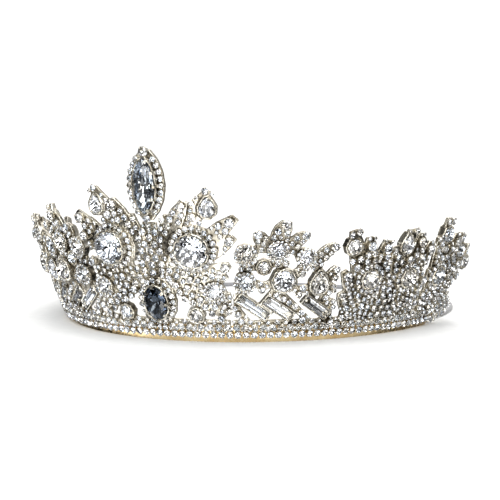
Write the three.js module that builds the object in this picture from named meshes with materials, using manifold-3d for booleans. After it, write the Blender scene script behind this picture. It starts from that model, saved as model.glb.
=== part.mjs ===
// A bridal tiara: a gold base band bent to a horseshoe, openwork castings that
// stand on it, faceted stones in closed cups, a navette finial over the middle,
// and a thin elastic cord that joins the two ends behind the head.
//
// Units are millimetres, +Z is up and the front of the tiara faces -Y.
// The tiara rests on the flat lower edge of its band, at z = 0, and the origin
// is on that surface, under the middle of the tiara.

import * as THREE from 'three';
import { mergeVertices } from 'three/addons/utils/BufferGeometryUtils.js';
import Module from 'manifold-3d';

const wasm = await Module();
wasm.setup();

// ---- driving dimensions -------------------------------------------------

const RIM_HALF_WIDTH = 74;     // the rim is part of an ellipse: half its width
const RIM_REACH = 86;          // and from its centre to the front
const RIM_CENTRE_Y = 50.08;    // the ellipse's centre, which puts the origin mid-way
const RIM_LEAN = THREE.MathUtils.degToRad(24);  // the wall leans out at the rim
const UPRIGHT_AT = 75;         // and would stand upright this far up the wall

const BAND_HALF_LENGTH = 112;  // along the rim, from the middle to each end
const BAND_HEIGHT = 6.6;
const BAND_THICKNESS = 1.2;
const BAND_STEPS = 48;

const PLATE = 1.4;             // thickness of the cast openwork
const RAIL_WIDTH = 2.2;        // the castings' lowest bar, just above the band
const BAR_STEP = 8;            // length of the straight pieces that a bar is made of
const FIT_GAP = 0.3;           // clearance between separate pieces
const CUP_WALL = 0.7;
const CUP_FLOOR = 0.6;
const CUP_BACK = PLATE / 2;    // the cups end flush with the castings' backs
const HALO_PLATE_FRONT = 1.6;  // front of the flat rims that hold small stones
const CORNER_STRETCH = 1.15;   // how far a margin may reach at an outline's corner

const STONE_BACK = 0.34;       // a cut stone's depths, as shares of its width:
const STONE_CROWN = 0.19;      // the pointed back, the crown
const STONE_GIRDLE = 0.1;      // and the girdle, of at most a 6 mm stone
const GIRDLE_STOPS_AT = 6;
const CULET_SHARE = 0.24;      // the back's end and the flat table,
const TABLE_SHARE = 0.6;       // as shares of the outline
const CUP_LIP = 0.15;          // how far a cup rises past the girdle's lower edge
const ABOVE_STONE = 6;         // the pockets are cut this far out past the girdle
const FINEST_DETAIL = 0.06;    // smaller steps than this are left out of the castings

const CORD_DIAMETER = 1.8;
const CORD_STEPS = 60;
const CRIMP_DIAMETER = 3.2;
const CRIMP_LENGTH = 6;
const CRIMP_ALONG = 113;       // the crimps lie inside the wall near each end
const CRIMP_UP = 3.4;
const CRIMP_SIDES = 10;

// ---- materials ----------------------------------------------------------

const gold = new THREE.MeshStandardMaterial({ color: 0xc79a4b, roughness: 0.3, metalness: 1 });
const paleGold = new THREE.MeshStandardMaterial({ color: 0xcfc6a8, roughness: 0.28, metalness: 1 });
const crystal = new THREE.MeshStandardMaterial({ color: 0xe9f1f5, roughness: 0.03, metalness: 0.1 });
const darkCrystal = new THREE.MeshStandardMaterial({ color: 0x2a3440, roughness: 0.03, metalness: 0.1 });
const elastic = new THREE.MeshStandardMaterial({ color: 0x77777a, roughness: 0.8, metalness: 0 });

// ---- the wall that every piece follows ----------------------------------

// Length along the rim, from the middle, at each small step of the ellipse's angle.
const ARC_STEP = THREE.MathUtils.degToRad(0.25);
const ARC_LIMIT = THREE.MathUtils.degToRad(110);
const arcLengths = [0];
for (let angle = 0; angle < ARC_LIMIT; angle += ARC_STEP) {
  const middle = angle + ARC_STEP / 2;
  const step = Math.hypot(RIM_HALF_WIDTH * Math.cos(middle), RIM_REACH * Math.sin(middle)) * ARC_STEP;
  arcLengths.push(arcLengths.at(-1) + step);
}

function angleAt(along) {
  const length = Math.abs(along);
  const next = arcLengths.findIndex((value) => value > length);
  const share = (length - arcLengths[next - 1]) / (arcLengths[next] - arcLengths[next - 1]);
  return Math.sign(along) * (next - 1 + share) * ARC_STEP;
}

// The point `along` mm from the middle, `up` mm up the wall, `out` mm in front of it.
function wall(along, up, out = 0) {
  const angle = angleAt(along);
  const outward = new THREE.Vector2(Math.sin(angle) / RIM_HALF_WIDTH, -Math.cos(angle) / RIM_REACH);
  outward.normalize();
  const lean = RIM_LEAN * (1 - up / UPRIGHT_AT);
  const bend = UPRIGHT_AT / RIM_LEAN;
  const spread = bend * (Math.cos(lean) - Math.cos(RIM_LEAN)) + out * Math.cos(lean);
  return new THREE.Vector3(
    RIM_HALF_WIDTH * Math.sin(angle) + outward.x * spread,
    RIM_CENTRE_Y - RIM_REACH * Math.cos(angle) + outward.y * spread,
    bend * (Math.sin(RIM_LEAN) - Math.sin(lean)) - out * Math.sin(lean),
  );
}

// Places a flat piece on the wall: its x runs along the rim, y up and z outwards.
function seatMatrix(along, up, turnDegrees = 0) {
  const right = wall(along + 0.5, up).sub(wall(along - 0.5, up)).normalize();
  const rise = wall(along, up + 0.5).sub(wall(along, up - 0.5)).normalize();
  const outward = new THREE.Vector3().crossVectors(right, rise).normalize();
  const seat = new THREE.Matrix4().makeBasis(right, outward.clone().cross(right), outward);
  seat.setPosition(wall(along, up));
  return seat.multiply(new THREE.Matrix4().makeRotationZ(THREE.MathUtils.degToRad(turnDegrees)));
}

// ---- solids -------------------------------------------------------------

// Rings of equal numbers of points, joined by faces and closed at both ends.
function skin(rings) {
  const count = rings[0].length;
  const positions = rings.flat().flatMap((point) => [point.x, point.y, point.z]);
  const faces = [];
  for (let ring = 0; ring + 1 < rings.length; ring += 1) {
    for (let i = 0; i < count; i += 1) {
      const a = ring * count + i;
      const b = ring * count + ((i + 1) % count);
      faces.push(a, b, b + count, a, b + count, a + count);
    }
  }
  const last = (rings.length - 1) * count;
  for (let i = 1; i + 1 < count; i += 1) {
    faces.push(0, i + 1, i, last, last + i, last + i + 1);
  }
  const geometry = new THREE.BufferGeometry();
  geometry.setAttribute('position', new THREE.Float32BufferAttribute(positions, 3));
  geometry.setIndex(faces);
  return geometry;
}

function toSolid(geometry) {
  const plain = geometry.clone();
  plain.deleteAttribute('normal');
  plain.deleteAttribute('uv');
  const merged = mergeVertices(plain, 1e-4);
  return new wasm.Manifold(new wasm.Mesh({
    numProp: 3,
    vertProperties: new Float32Array(merged.attributes.position.array),
    triVerts: new Uint32Array(merged.index.array),
  }));
}

function toGeometry(solid) {
  const mesh = solid.getMesh();
  const geometry = new THREE.BufferGeometry();
  geometry.setAttribute('position', new THREE.BufferAttribute(mesh.vertProperties, 3));
  geometry.setIndex(new THREE.BufferAttribute(mesh.triVerts, 1));
  return geometry;
}

// A bar or leaf that lies on the wall. Each station gives a point on its centre
// line, its width there and how far it stands out of the wall.
function blade(stations, thickness = PLATE) {
  const rings = stations.map((station, i) => {
    const before = stations[Math.max(i - 1, 0)];
    const after = stations[Math.min(i + 1, stations.length - 1)];
    const run = new THREE.Vector2(after.along - before.along, after.up - before.up).normalize();
    const side = new THREE.Vector2(-run.y, run.x).multiplyScalar(station.width / 2);
    const corner = (sign, out) =>
      wall(station.along + sign * side.x, station.up + sign * side.y, station.out + out);
    return [
      corner(1, -thickness / 2), corner(1, thickness / 2),
      corner(-1, thickness / 2), corner(-1, -thickness / 2),
    ];
  });
  return toSolid(skin(rings));
}

// A bar of one width through a few points of the wall, smooth between them.
function bar(points, width) {
  const curve = new THREE.SplineCurve(points.map(([along, up]) => new THREE.Vector2(along, up)));
  const steps = Math.max(2, Math.round(curve.getLength() / BAR_STEP));
  return blade(curve.getSpacedPoints(steps).map(({ x, y }) => ({ along: x, up: y, width, out: 0 })));
}

// A leaf from its root to its tip: narrow, full, then blunt, bowed to one side
// and lifted off the wall towards its tip. Some leaves lift more than the next.
const LEAF_PROFILE = [0.45, 0.74, 0.94, 1, 0.9, 0.46];

function leaf({ root, tip, width, bow = 0, lift = 1.4 }) {
  const start = new THREE.Vector2(...root);
  const end = new THREE.Vector2(...tip);
  const across = end.clone().sub(start).rotateAround(new THREE.Vector2(), Math.PI / 2);
  const middle = start.clone().add(end).multiplyScalar(0.5).addScaledVector(across, bow);
  const curve = new THREE.QuadraticBezierCurve(start, middle, end);
  const last = LEAF_PROFILE.length - 1;
  return blade(LEAF_PROFILE.map((share, i) => {
    const { x, y } = curve.getPoint(i / last);
    return { along: x, up: y, width: width * share, out: lift * (i / last) ** 2 };
  }));
}

// ---- stones and their cups ----------------------------------------------

// Outlines of the cuts, one unit wide and `ratio` units long, anticlockwise.
const CUTS = {
  round: (sides) => arcPoints(sides, (angle) => [Math.cos(angle) / 2, Math.sin(angle) / 2]),
  oval: (sides, ratio) => arcPoints(sides, (angle) => [Math.cos(angle) / 2, (ratio * Math.sin(angle)) / 2]),
  navette: (sides, ratio) => arcPoints(sides, (angle) => [
    (Math.sign(Math.cos(angle)) * Math.abs(Math.cos(angle)) ** 1.55) / 2, (ratio * Math.sin(angle)) / 2]),
  pear: (sides, ratio) => arcPoints(sides, (angle) => [
    (Math.cos(angle) * (1 - 0.42 * Math.sin(angle) - 0.3 * Math.sin(angle) ** 2)) / 1.9,
    (ratio * Math.sin(angle)) / 2]),
  baguette: (sides, ratio) => [[0.5, -ratio / 2], [0.5, ratio / 2], [-0.5, ratio / 2], [-0.5, -ratio / 2]],
};

function arcPoints(sides, at) {
  return Array.from({ length: sides }, (_, i) => at((i / sides) * 2 * Math.PI));
}

function outline({ cut, width, length = width, sides = 8 }) {
  const points = CUTS[cut](sides, length / width);
  return points.map(([x, y]) => new THREE.Vector2(x * width, y * width));
}

// The outline moved out by a margin, square to its sides.
function offset(points, margin) {
  return points.map((point, i) => {
    const before = point.clone().sub(points.at(i - 1)).normalize();
    const after = points[(i + 1) % points.length].clone().sub(point).normalize();
    const away = new THREE.Vector2(before.y + after.y, -before.x - after.x).normalize();
    const stretch = Math.min(CORNER_STRETCH, 1 / Math.hypot(...before.clone().add(after).divideScalar(2)));
    return point.clone().addScaledVector(away, margin * stretch);
  });
}

// An outline drawn again at each level: scaled, grown by a margin, and at its own depth.
function stack(points, levels, seat) {
  const rings = levels.map(({ depth, scale = 1, grow = 0 }) => {
    const scaled = points.map((point) => point.clone().multiplyScalar(scale));
    return offset(scaled, grow).map(({ x, y }) => new THREE.Vector3(x, y, depth).applyMatrix4(seat));
  });
  return toSolid(skin(rings));
}

// Depths of a cut stone, from the pointed back to the flat table.
function gemLevels({ width, seat }) {
  const girdle = STONE_GIRDLE * Math.min(width, GIRDLE_STOPS_AT);
  return [
    { depth: seat - STONE_BACK * width, scale: CULET_SHARE },
    { depth: seat },
    { depth: seat + girdle },
    { depth: seat + girdle + STONE_CROWN * width, scale: TABLE_SHARE },
  ];
}

// How far the girdle stands out of the wall: room for the back and the cup's floor.
function seatDepth(width) {
  return STONE_BACK * width + FIT_GAP + CUP_FLOOR - CUP_BACK;
}

function gem(stone, seat) {
  return stack(outline(stone), gemLevels(stone), seat);
}

// The cup, with a flat rim for a halo of small stones where the stone has one.
function cup(stone, seat) {
  const points = outline(stone);
  const wallOut = FIT_GAP + CUP_WALL;
  let solid = stack(points, [
    { depth: -CUP_BACK, grow: wallOut },
    { depth: stone.seat + CUP_LIP, grow: wallOut },
  ], seat);
  if (stone.halo) {
    const rim = wallOut + stone.halo;
    solid = solid.add(stack(points, [
      { depth: -CUP_BACK, grow: rim },
      { depth: HALO_PLATE_FRONT - CUP_BACK, grow: rim },
    ], seat));
  }
  return solid;
}

function pocket(stone, seat) {
  const floor = stone.seat - STONE_BACK * stone.width - FIT_GAP;
  return stack(outline(stone), [
    { depth: floor, scale: CULET_SHARE, grow: FIT_GAP },
    { depth: stone.seat - FIT_GAP / 2, grow: FIT_GAP },
    { depth: stone.seat + ABOVE_STONE, grow: FIT_GAP },
  ], seat);
}

// ---- what stands where --------------------------------------------------
// Places are given for the right half, as [along the rim, up the wall] in mm.

const STONES = {
  centre: [
    { name: 'oval_stone', cut: 'oval', along: 0, up: 16.4, width: 8.6, length: 12.6, sides: 12, halo: 2, dark: true },
    { name: 'large_round', cut: 'round', along: 13.2, up: 36.5, width: 11.4, sides: 12, halo: 2 },
    { name: 'peak_pear', cut: 'pear', along: 17.9, up: 51.6, width: 5, length: 7, sides: 10 },
    { name: 'flower_round_a', cut: 'round', along: 19.4, up: 21, width: 5.8 },
    { name: 'ring_round', cut: 'round', along: 12.8, up: 11.4, width: 4.8 },
  ],
  lattice: [
    { name: 'flower_round_b', cut: 'round', along: 28.6, up: 24.6, width: 5.8 },
    { name: 'flower_round_c', cut: 'round', along: 28.8, up: 34.8, width: 5.8 },
    { name: 'flower_round_d', cut: 'round', along: 38.4, up: 36, width: 5.8 },
    { name: 'flower_round_e', cut: 'round', along: 47.2, up: 33.4, width: 5.4 },
    { name: 'lattice_round', cut: 'round', along: 34.4, up: 30, width: 4.2 },
    { name: 'rimmed_round', cut: 'round', along: 40.6, up: 25.2, width: 7.6 },
    { name: 'lattice_pear', cut: 'pear', along: 52.4, up: 24, width: 5.6, length: 8.6, sides: 10 },
    { name: 'baguette_a', cut: 'baguette', along: 31.4, up: 14.6, width: 3, length: 12.4, turn: 54 },
    { name: 'baguette_b', cut: 'baguette', along: 39.6, up: 14.2, width: 3, length: 11.6, turn: 54 },
    { name: 'baguette_c', cut: 'baguette', along: 52.6, up: 14, width: 3, length: 11, turn: 54 },
  ],
  spray: [
    { name: 'spray_round_a', cut: 'round', along: 63, up: 36.6, width: 5.6 },
    { name: 'spray_round_b', cut: 'round', along: 70.8, up: 24, width: 6.6, halo: 1.8 },
    { name: 'spray_pear', cut: 'pear', along: 84.6, up: 36.2, width: 5.2, length: 7.4, sides: 10 },
    { name: 'spray_round_c', cut: 'round', along: 88, up: 23, width: 6.6, halo: 1.8 },
  ],
  end_spray: [
    { name: 'end_round_a', cut: 'round', along: 105.8, up: 38, width: 5.8 },
    { name: 'end_round_b', cut: 'round', along: 105.4, up: 22, width: 6.6, halo: 1.8 },
    { name: 'end_round_c', cut: 'round', along: 118.6, up: 30.6, width: 5.4 },
    { name: 'end_round_d', cut: 'round', along: 128.4, up: 25, width: 4.8 },
  ],
};

const FINIAL = { cut: 'navette', along: 0, up: 58.8, width: 8.4, length: 19.5, sides: 14, halo: 2 };

const LEAVES = {
  centre: [
    { root: [2.6, 24], tip: [5.8, 48.6], width: 4.6, bow: 0.02, lift: 0.6 },
    { root: [4, 31], tip: [11.6, 54], width: 5.6, bow: 0.08, lift: 2 },
    { root: [6, 31], tip: [18.6, 57.4], width: 6.4, bow: 0.05, lift: 1.2 },
    { root: [8, 29], tip: [26, 48.4], width: 6, bow: 0.02, lift: 2 },
    { root: [9, 27], tip: [25.6, 41.2], width: 5.4, bow: -0.02, lift: 1.2 },
    { root: [8, 24], tip: [24.2, 31], width: 5.2, bow: -0.06, lift: 0.8 },
    { root: [12, 21.6], tip: [23.4, 26.8], width: 4.2, bow: -0.04, lift: 0.6 },
    { root: [20.6, 11.6], tip: [23.3, 20.6], width: 3.8, bow: -0.08, lift: 0.6 },
  ],
  lattice: [
    { root: [37.4, 34], tip: [40.8, 47], width: 6, bow: 0.04, lift: 1.8 },
    { root: [35, 35], tip: [31.8, 43], width: 4.8, bow: -0.1 },
    { root: [42, 35], tip: [47, 42.4], width: 4.8, bow: 0.1 },
    { root: [50, 29], tip: [56.8, 38], width: 4.8, bow: 0.1 },
    { root: [53, 21], tip: [58, 29.6], width: 3.8, bow: -0.06, lift: 0.8 },
    { root: [53.8, 15.4], tip: [57.8, 23], width: 3.4, bow: -0.04, lift: 0.4 },
    { root: [56.4, 9.4], tip: [58.3, 17], width: 3.2, bow: 0.04, lift: 0.3 },
  ],
  spray: [
    { root: [65, 8.6], tip: [60.6, 19.2], width: 4.4, bow: -0.06, lift: 0.4 },
    { root: [68, 8.6], tip: [60.6, 27.6], width: 5.2, bow: -0.1, lift: 0.8 },
    { root: [70, 9], tip: [62, 42.8], width: 6.6, bow: -0.06, lift: 1.8 },
    { root: [71, 9], tip: [68.6, 39.8], width: 6.2, bow: -0.03, lift: 1 },
    { root: [72, 9], tip: [75.2, 38.6], width: 6.2, bow: 0.03, lift: 1.8 },
    { root: [86, 9], tip: [79.6, 35.4], width: 5.6, bow: -0.05, lift: 0.8 },
    { root: [87.5, 9], tip: [85, 42], width: 6.6, bow: -0.03, lift: 1.8 },
    { root: [89, 9], tip: [91, 39.8], width: 6.2, bow: 0.03, lift: 1 },
    { root: [90, 9], tip: [96, 36.4], width: 5.4, bow: 0.06, lift: 1.8 },
    { root: [91.5, 9], tip: [96.8, 23], width: 4.6, bow: 0.06, lift: 0.8 },
  ],
  end_spray: [
    { root: [104, 8.6], tip: [99.8, 25.4], width: 4.6, bow: -0.1, lift: 0.8 },
    { root: [105, 9], tip: [100.6, 38], width: 5.6, bow: -0.05, lift: 1.8 },
    { root: [106, 9], tip: [106, 44.4], width: 6.6, bow: 0, lift: 1 },
    { root: [107.5, 9], tip: [112.4, 38], width: 6, bow: 0.03, lift: 1.8 },
    { root: [109, 9], tip: [118.6, 37.4], width: 6.4, bow: 0.05, lift: 1 },
    { root: [110, 9], tip: [123.6, 32.6], width: 6, bow: 0.07, lift: 1.8 },
    { root: [111, 9], tip: [122.6, 21.4], width: 4.6, bow: 0.08, lift: 0.8 },
  ],
};

const RAIL_UP = BAND_HEIGHT + FIT_GAP + RAIL_WIDTH / 2;

// Bars of the openwork: each row is a width and the points it runs through. The
// wide ones are webs that tie the roots of the leaves together.
const BARS = {
  centre: [
    { width: RAIL_WIDTH, through: [[-24, RAIL_UP], [0, RAIL_UP], [24, RAIL_UP]] },
    { width: 4.6, through: [[0, 20], [0, 45.7]] },
    { width: 5, through: [[23.2, 11.4], [15, 16.8], [6, 22.6]] },
    { width: 3, through: [[23, 15], [19.4, 21], [11, 26.6]] },
    { width: 5.6, through: [[3, 27.4], [9, 25.8], [16, 25.4]] },
    { width: 2.4, through: [[12.8, RAIL_UP], [12.8, 11.4]] },
  ],
  lattice: [
    { width: RAIL_WIDTH, through: [[24.6, RAIL_UP], [42, RAIL_UP], [59, RAIL_UP]] },
    { width: 3.2, through: [[27.4, 16.6], [28.6, 24.6], [28.8, 34.8]] },
    { width: 3.2, through: [[28.8, 34.8], [34, 36.8], [38.4, 36]] },
    { width: 3.2, through: [[38.4, 36], [43, 36], [47.2, 33.4]] },
    { width: 3.2, through: [[38.4, 36], [40.6, 25.2], [36, 17]] },
    { width: 3.2, through: [[28.6, 24.6], [34, 22.4], [40.6, 25.2]] },
    { width: 2.6, through: [[29.4, 29.4], [34.4, 30], [39.6, 31.4]] },
    { width: 3.2, through: [[47.2, 33.4], [51.2, 30], [52.4, 24], [49.6, 16]] },
    { width: 3.2, through: [[40.6, 25.2], [45.6, 20.6], [52.4, 22]] },
    { width: 3.4, through: [[43.4, 25.6], [46.2, 28.4], [47.8, 31.4]] },
    { width: 2.6, through: [[50.8, RAIL_UP], [45, 14.6], [40.4, 19.4]] },
    { width: 2.6, through: [[26.2, 19.6], [26, 14], [29.8, RAIL_UP]] },
    { width: 2.6, through: [[58, RAIL_UP], [57.6, 13], [54.6, 19.4]] },
  ],
  spray: [
    { width: RAIL_WIDTH, through: [[59.6, RAIL_UP], [78, RAIL_UP], [97, RAIL_UP]] },
    { width: 8, through: [[62, 12.6], [72, 13], [80, 12.6]] },
    { width: 8, through: [[80, 12.6], [88, 13], [96.4, 12.6]] },
    { width: 3, through: [[70, 24], [79, 22], [88, 23]] },
    { width: 3, through: [[79, RAIL_UP], [79, 19.6], [78.4, 30]] },
  ],
  end_spray: [
    { width: RAIL_WIDTH, through: [[97.6, RAIL_UP], [106, RAIL_UP], [114, RAIL_UP]] },
    { width: 7, through: [[98.2, 12.4], [106, 12.6], [113, 13.4]] },
    { width: 2.6, through: [[116, 22], [122, 23.4], [128.4, 25]] },
  ],
};

// The pointed end of the tiara, past the band: its outline on the wall.
const END_PLATE = [
  { along: 113.6, up: 9.9, width: 19.2 },
  { along: 117, up: 9.4, width: 14.2 },
  { along: 122, up: 8.4, width: 8.6 },
  { along: 126, up: 7.6, width: 4.4 },
  { along: 129.5, up: 7, width: 0.8 },
].map((station) => ({ ...station, out: 0 }));

// The cord's centre line, from the right crimp round to the left one. It drops
// to the surface behind the ends and lies there in one loose curve.
const CORD_ROUTE = [
  [72.1, 43.8, 3.6], [72.2, 47.4, 3.3], [72.5, 52.9, 2.1], [72.8, 57.9, 1.2], [72.6, 64.9, 0.95],
  [71.6, 74.9, 0.95], [68.6, 85.9, 0.95], [62.4, 96.9, 0.95], [52.6, 107.1, 0.95], [39, 115.3, 0.95],
  [23, 120.5, 0.95], [6, 122.5, 0.95], [-12, 121.5, 0.95], [-28.4, 117.3, 0.95], [-43.4, 109.7, 0.95],
  [-55.6, 99.5, 0.95], [-64, 88.3, 0.95], [-69.4, 76.5, 0.95], [-72, 65.3, 0.95], [-72.8, 57.9, 1.2],
  [-72.5, 52.9, 2.1], [-72.2, 47.4, 3.3], [-72.1, 43.8, 3.6],
];

// ---- assembly -----------------------------------------------------------

const tiara = new THREE.Group();

function addPiece(name, geometry, material) {
  const mesh = new THREE.Mesh(geometry, material);
  mesh.name = name;
  tiara.add(mesh);
}

// The same places on the other half.
function mirrorStone(stone) {
  return { ...stone, along: -stone.along, turn: -(stone.turn ?? 0) };
}

function mirrorLeaf(row) {
  const flip = ([along, up]) => [-along, up];
  return { ...row, root: flip(row.root), tip: flip(row.tip), bow: -row.bow };
}

function mirrorBar(row) {
  return { ...row, through: row.through.map(([along, up]) => [-along, up]) };
}

// One soldered casting: leaves, bars and cups joined, then the stones' pockets cut.
function casting(leaves, bars, stones, extra = []) {
  const seats = stones.map((stone) => seatMatrix(stone.along, stone.up, stone.turn));
  const parts = [
    ...leaves.map(leaf),
    ...bars.map(({ through, width }) => bar(through, width)),
    ...stones.map((stone, i) => cup(stone, seats[i])),
    ...extra,
  ];
  const pockets = stones.map((stone, i) => pocket(stone, seats[i]));
  const body = wasm.Manifold.union(parts).subtract(wasm.Manifold.union(pockets)).simplify(FINEST_DETAIL);
  const [whole] = body.decompose().sort((a, b) => b.volume() - a.volume());  // without crumbs
  return toGeometry(whole);
}

function addStones(stones, suffix) {
  for (const stone of stones) {
    const seat = seatMatrix(stone.along, stone.up, stone.turn);
    const name = stone.along === 0 ? stone.name : `${stone.name}_${suffix}`;
    addPiece(name, toGeometry(gem(stone, seat)), stone.dark ? darkCrystal : crystal);
  }
}

function withSeat(stone) {
  return { ...stone, seat: seatDepth(stone.width) };
}

// The band: a strip whose lower edge is flat on the surface it rests on.
function baseBand() {
  const rings = [];
  for (let i = 0; i <= BAND_STEPS; i += 1) {
    const along = BAND_HALF_LENGTH * ((2 * i) / BAND_STEPS - 1);
    const corners = [
      wall(along, 0, -BAND_THICKNESS / 2), wall(along, 0, BAND_THICKNESS / 2),
      wall(along, BAND_HEIGHT, BAND_THICKNESS / 2), wall(along, BAND_HEIGHT, -BAND_THICKNESS / 2),
    ];
    corners[0].z = 0;
    corners[1].z = 0;
    rings.push(corners);
  }
  return skin(rings.reverse());
}

addPiece('base_band', baseBand(), gold);

const centreRight = STONES.centre.map(withSeat);
const centreLeft = centreRight.filter((stone) => stone.along > 0).map(mirrorStone);
addPiece('centre_panel', casting(
  [...LEAVES.centre, ...LEAVES.centre.map(mirrorLeaf)],
  [...BARS.centre, ...BARS.centre.slice(2).map(mirrorBar)],
  [...centreRight, ...centreLeft],
), paleGold);
addStones(centreRight, 'right');
addStones(centreLeft, 'left');

const finial = withSeat(FINIAL);
addPiece('finial_setting', casting([], [], [finial]), paleGold);
addStones([{ ...finial, name: 'finial_navette' }], '');

for (const panel of ['lattice', 'spray', 'end_spray']) {
  const rightStones = STONES[panel].map(withSeat);
  const leftStones = rightStones.map(mirrorStone);
  const mirrorPlate = END_PLATE.map((station) => ({ ...station, along: -station.along }));
  const isEnd = panel === 'end_spray';
  addPiece(`${panel}_right`, casting(
    LEAVES[panel], BARS[panel], rightStones, isEnd ? [blade(END_PLATE)] : [],
  ), paleGold);
  addPiece(`${panel}_left`, casting(
    LEAVES[panel].map(mirrorLeaf), BARS[panel].map(mirrorBar), leftStones,
    isEnd ? [blade(mirrorPlate)] : [],
  ), paleGold);
  addStones(rightStones, 'right');
  addStones(leftStones, 'left');
}

// The crimps that hold the cord, inside the wall at each end.
for (const [name, side] of [['cord_crimp_right', 1], ['cord_crimp_left', -1]]) {
  const inside = -(PLATE / 2 + FIT_GAP + CRIMP_DIAMETER / 2);
  const start = wall(side * CRIMP_ALONG, CRIMP_UP, inside);
  const radius = CRIMP_DIAMETER / 2;
  const crimp = new THREE.CylinderGeometry(radius, radius, CRIMP_LENGTH, CRIMP_SIDES);
  crimp.translate(start.x, start.y + CRIMP_LENGTH / 2, start.z);
  addPiece(name, toGeometry(toSolid(crimp)), gold);
}

// The cord is one plain tube along its route.
const route = new THREE.CatmullRomCurve3(CORD_ROUTE.map((point) => new THREE.Vector3(...point)));
const cordSection = new THREE.Shape(outline({ cut: 'round', width: CORD_DIAMETER }));
addPiece('elastic_cord', new THREE.ExtrudeGeometry(cordSection, { steps: CORD_STEPS, extrudePath: route }), elastic);

export default tiara;
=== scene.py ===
# %% [markdown]
# # A bridal tiara in cut crystal
#
# A tiara of this kind is a strip of gold-plated brass bent to a horseshoe. Cast
# openwork stands on it, and every stone sits in a small metal cup with claws.
# The maker sets one large navette over the middle and stones of many sizes below.
# An elastic cord joins the two ends behind the head.
#
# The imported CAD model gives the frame: the real size and place of each casting
# and of each large stone. Here the pieces get the fine shape and the finish.

# %% Load the frame
import math
import random
from bisect import bisect_right

import bmesh
import bpy
from mathutils import Matrix, Vector
from mathutils.bvhtree import BVHTree


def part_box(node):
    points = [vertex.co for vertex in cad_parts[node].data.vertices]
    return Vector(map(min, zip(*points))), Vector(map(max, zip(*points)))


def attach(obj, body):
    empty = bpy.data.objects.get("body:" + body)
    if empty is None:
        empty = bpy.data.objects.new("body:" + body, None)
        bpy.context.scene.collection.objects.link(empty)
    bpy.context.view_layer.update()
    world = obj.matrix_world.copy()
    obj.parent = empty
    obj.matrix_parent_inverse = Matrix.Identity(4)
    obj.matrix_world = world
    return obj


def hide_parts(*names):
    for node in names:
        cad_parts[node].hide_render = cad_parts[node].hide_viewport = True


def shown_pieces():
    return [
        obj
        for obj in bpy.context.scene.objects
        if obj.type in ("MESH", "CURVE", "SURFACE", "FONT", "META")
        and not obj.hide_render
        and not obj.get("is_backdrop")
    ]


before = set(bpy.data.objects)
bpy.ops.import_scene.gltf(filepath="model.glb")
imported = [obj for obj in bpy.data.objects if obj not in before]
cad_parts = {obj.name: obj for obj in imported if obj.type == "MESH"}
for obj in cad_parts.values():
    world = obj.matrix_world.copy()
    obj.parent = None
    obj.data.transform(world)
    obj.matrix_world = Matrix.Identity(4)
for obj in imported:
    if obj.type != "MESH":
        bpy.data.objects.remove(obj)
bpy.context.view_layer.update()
scene = bpy.context.scene
MM = 0.001

# %% [markdown]
# ## The camera
#
# A low view from a little to one side shows the middle, one flank and the rim's
# curve. A long lens at arm's length keeps the near stones from growing large.
# The camera is aimed by its own matrix, so no constraint is left to follow. The
# lamps of the studio are aimed the same way, so the aiming is a function.

# %% Camera
VIEW_AZIMUTH = 24        # degrees to the right of the front
VIEW_ELEVATION = 6
VIEW_DISTANCE = 0.6      # m
VIEW_TARGET = Vector((0.018, -0.003, 0.030))
VIEW_LENS = 116          # focal length in mm


def linked_object(name, data):
    """A new object in the scene."""
    thing = bpy.data.objects.new(name, data)
    scene.collection.objects.link(thing)
    return thing


def aim(thing, azimuth, elevation, distance, target):
    """Places an object round a target, so that it looks at the target along its -Z."""
    turn, rise = math.radians(azimuth), math.radians(elevation)
    away = Vector((math.sin(turn) * math.cos(rise), -math.cos(turn) * math.cos(rise), math.sin(rise)))
    thing.matrix_world = away.to_track_quat("Z", "Y").to_matrix().to_4x4()
    thing.matrix_world.translation = target + away * distance


camera = linked_object("camera", bpy.data.cameras.new("camera"))
camera.data.lens = VIEW_LENS
scene.camera = camera
aim(camera, VIEW_AZIMUTH, VIEW_ELEVATION, VIEW_DISTANCE, VIEW_TARGET)
print("camera at", [round(value, 3) for value in camera.matrix_world.translation])

# %% [markdown]
# ## Small helpers for meshes and pieces
#
# Most pieces are made from a list of points and faces, often rings of points with
# a skin between them. The first helpers make such lists and turn them into closed
# meshes whose faces point outwards. The last ones shade a mesh and put a finished
# piece in the scene on the root body, with its finish, and hide the CAD nodes that
# it stands for.

# %% Mesh helpers
def reshaped(mesh, change):
    """Makes a change to a mesh in its edit form, and returns the mesh."""
    shape = bmesh.new()
    shape.from_mesh(mesh)
    change(shape)
    shape.to_mesh(mesh)
    shape.free()
    return mesh


def faced_outwards(mesh):
    return reshaped(mesh, lambda shape: bmesh.ops.recalc_face_normals(shape, faces=shape.faces))


def closed_mesh(name, points, faces, flags=None):
    """A mesh with outward faces. `flags` marks the faces that carry foil."""
    mesh = bpy.data.meshes.new(name)
    mesh.from_pydata([tuple(point) for point in points], [], faces)
    if flags is not None:
        foil = mesh.attributes.new("foil", "BOOLEAN", "FACE")
        foil.data.foreach_set("value", flags)
    return faced_outwards(mesh)


def circle(radius, sides, height):
    """Points round the Z axis."""
    turns = [2 * math.pi * i / sides for i in range(sides)]
    return [Vector((radius * math.cos(turn), radius * math.sin(turn), height)) for turn in turns]


def ring_faces(rings, count, start=0):
    """Quads between rings of points that follow each other in one list from `start`."""
    faces = []
    for ring in range(rings - 1):
        for i in range(count):
            a = start + ring * count + i
            b = start + ring * count + (i + 1) % count
            faces.append((a, b, b + count, a + count))
    return faces


def fan_faces(pole, start, count):
    """Triangles from a pole to the ring of points from `start`."""
    return [(pole, start + i, start + (i + 1) % count) for i in range(count)]


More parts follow.
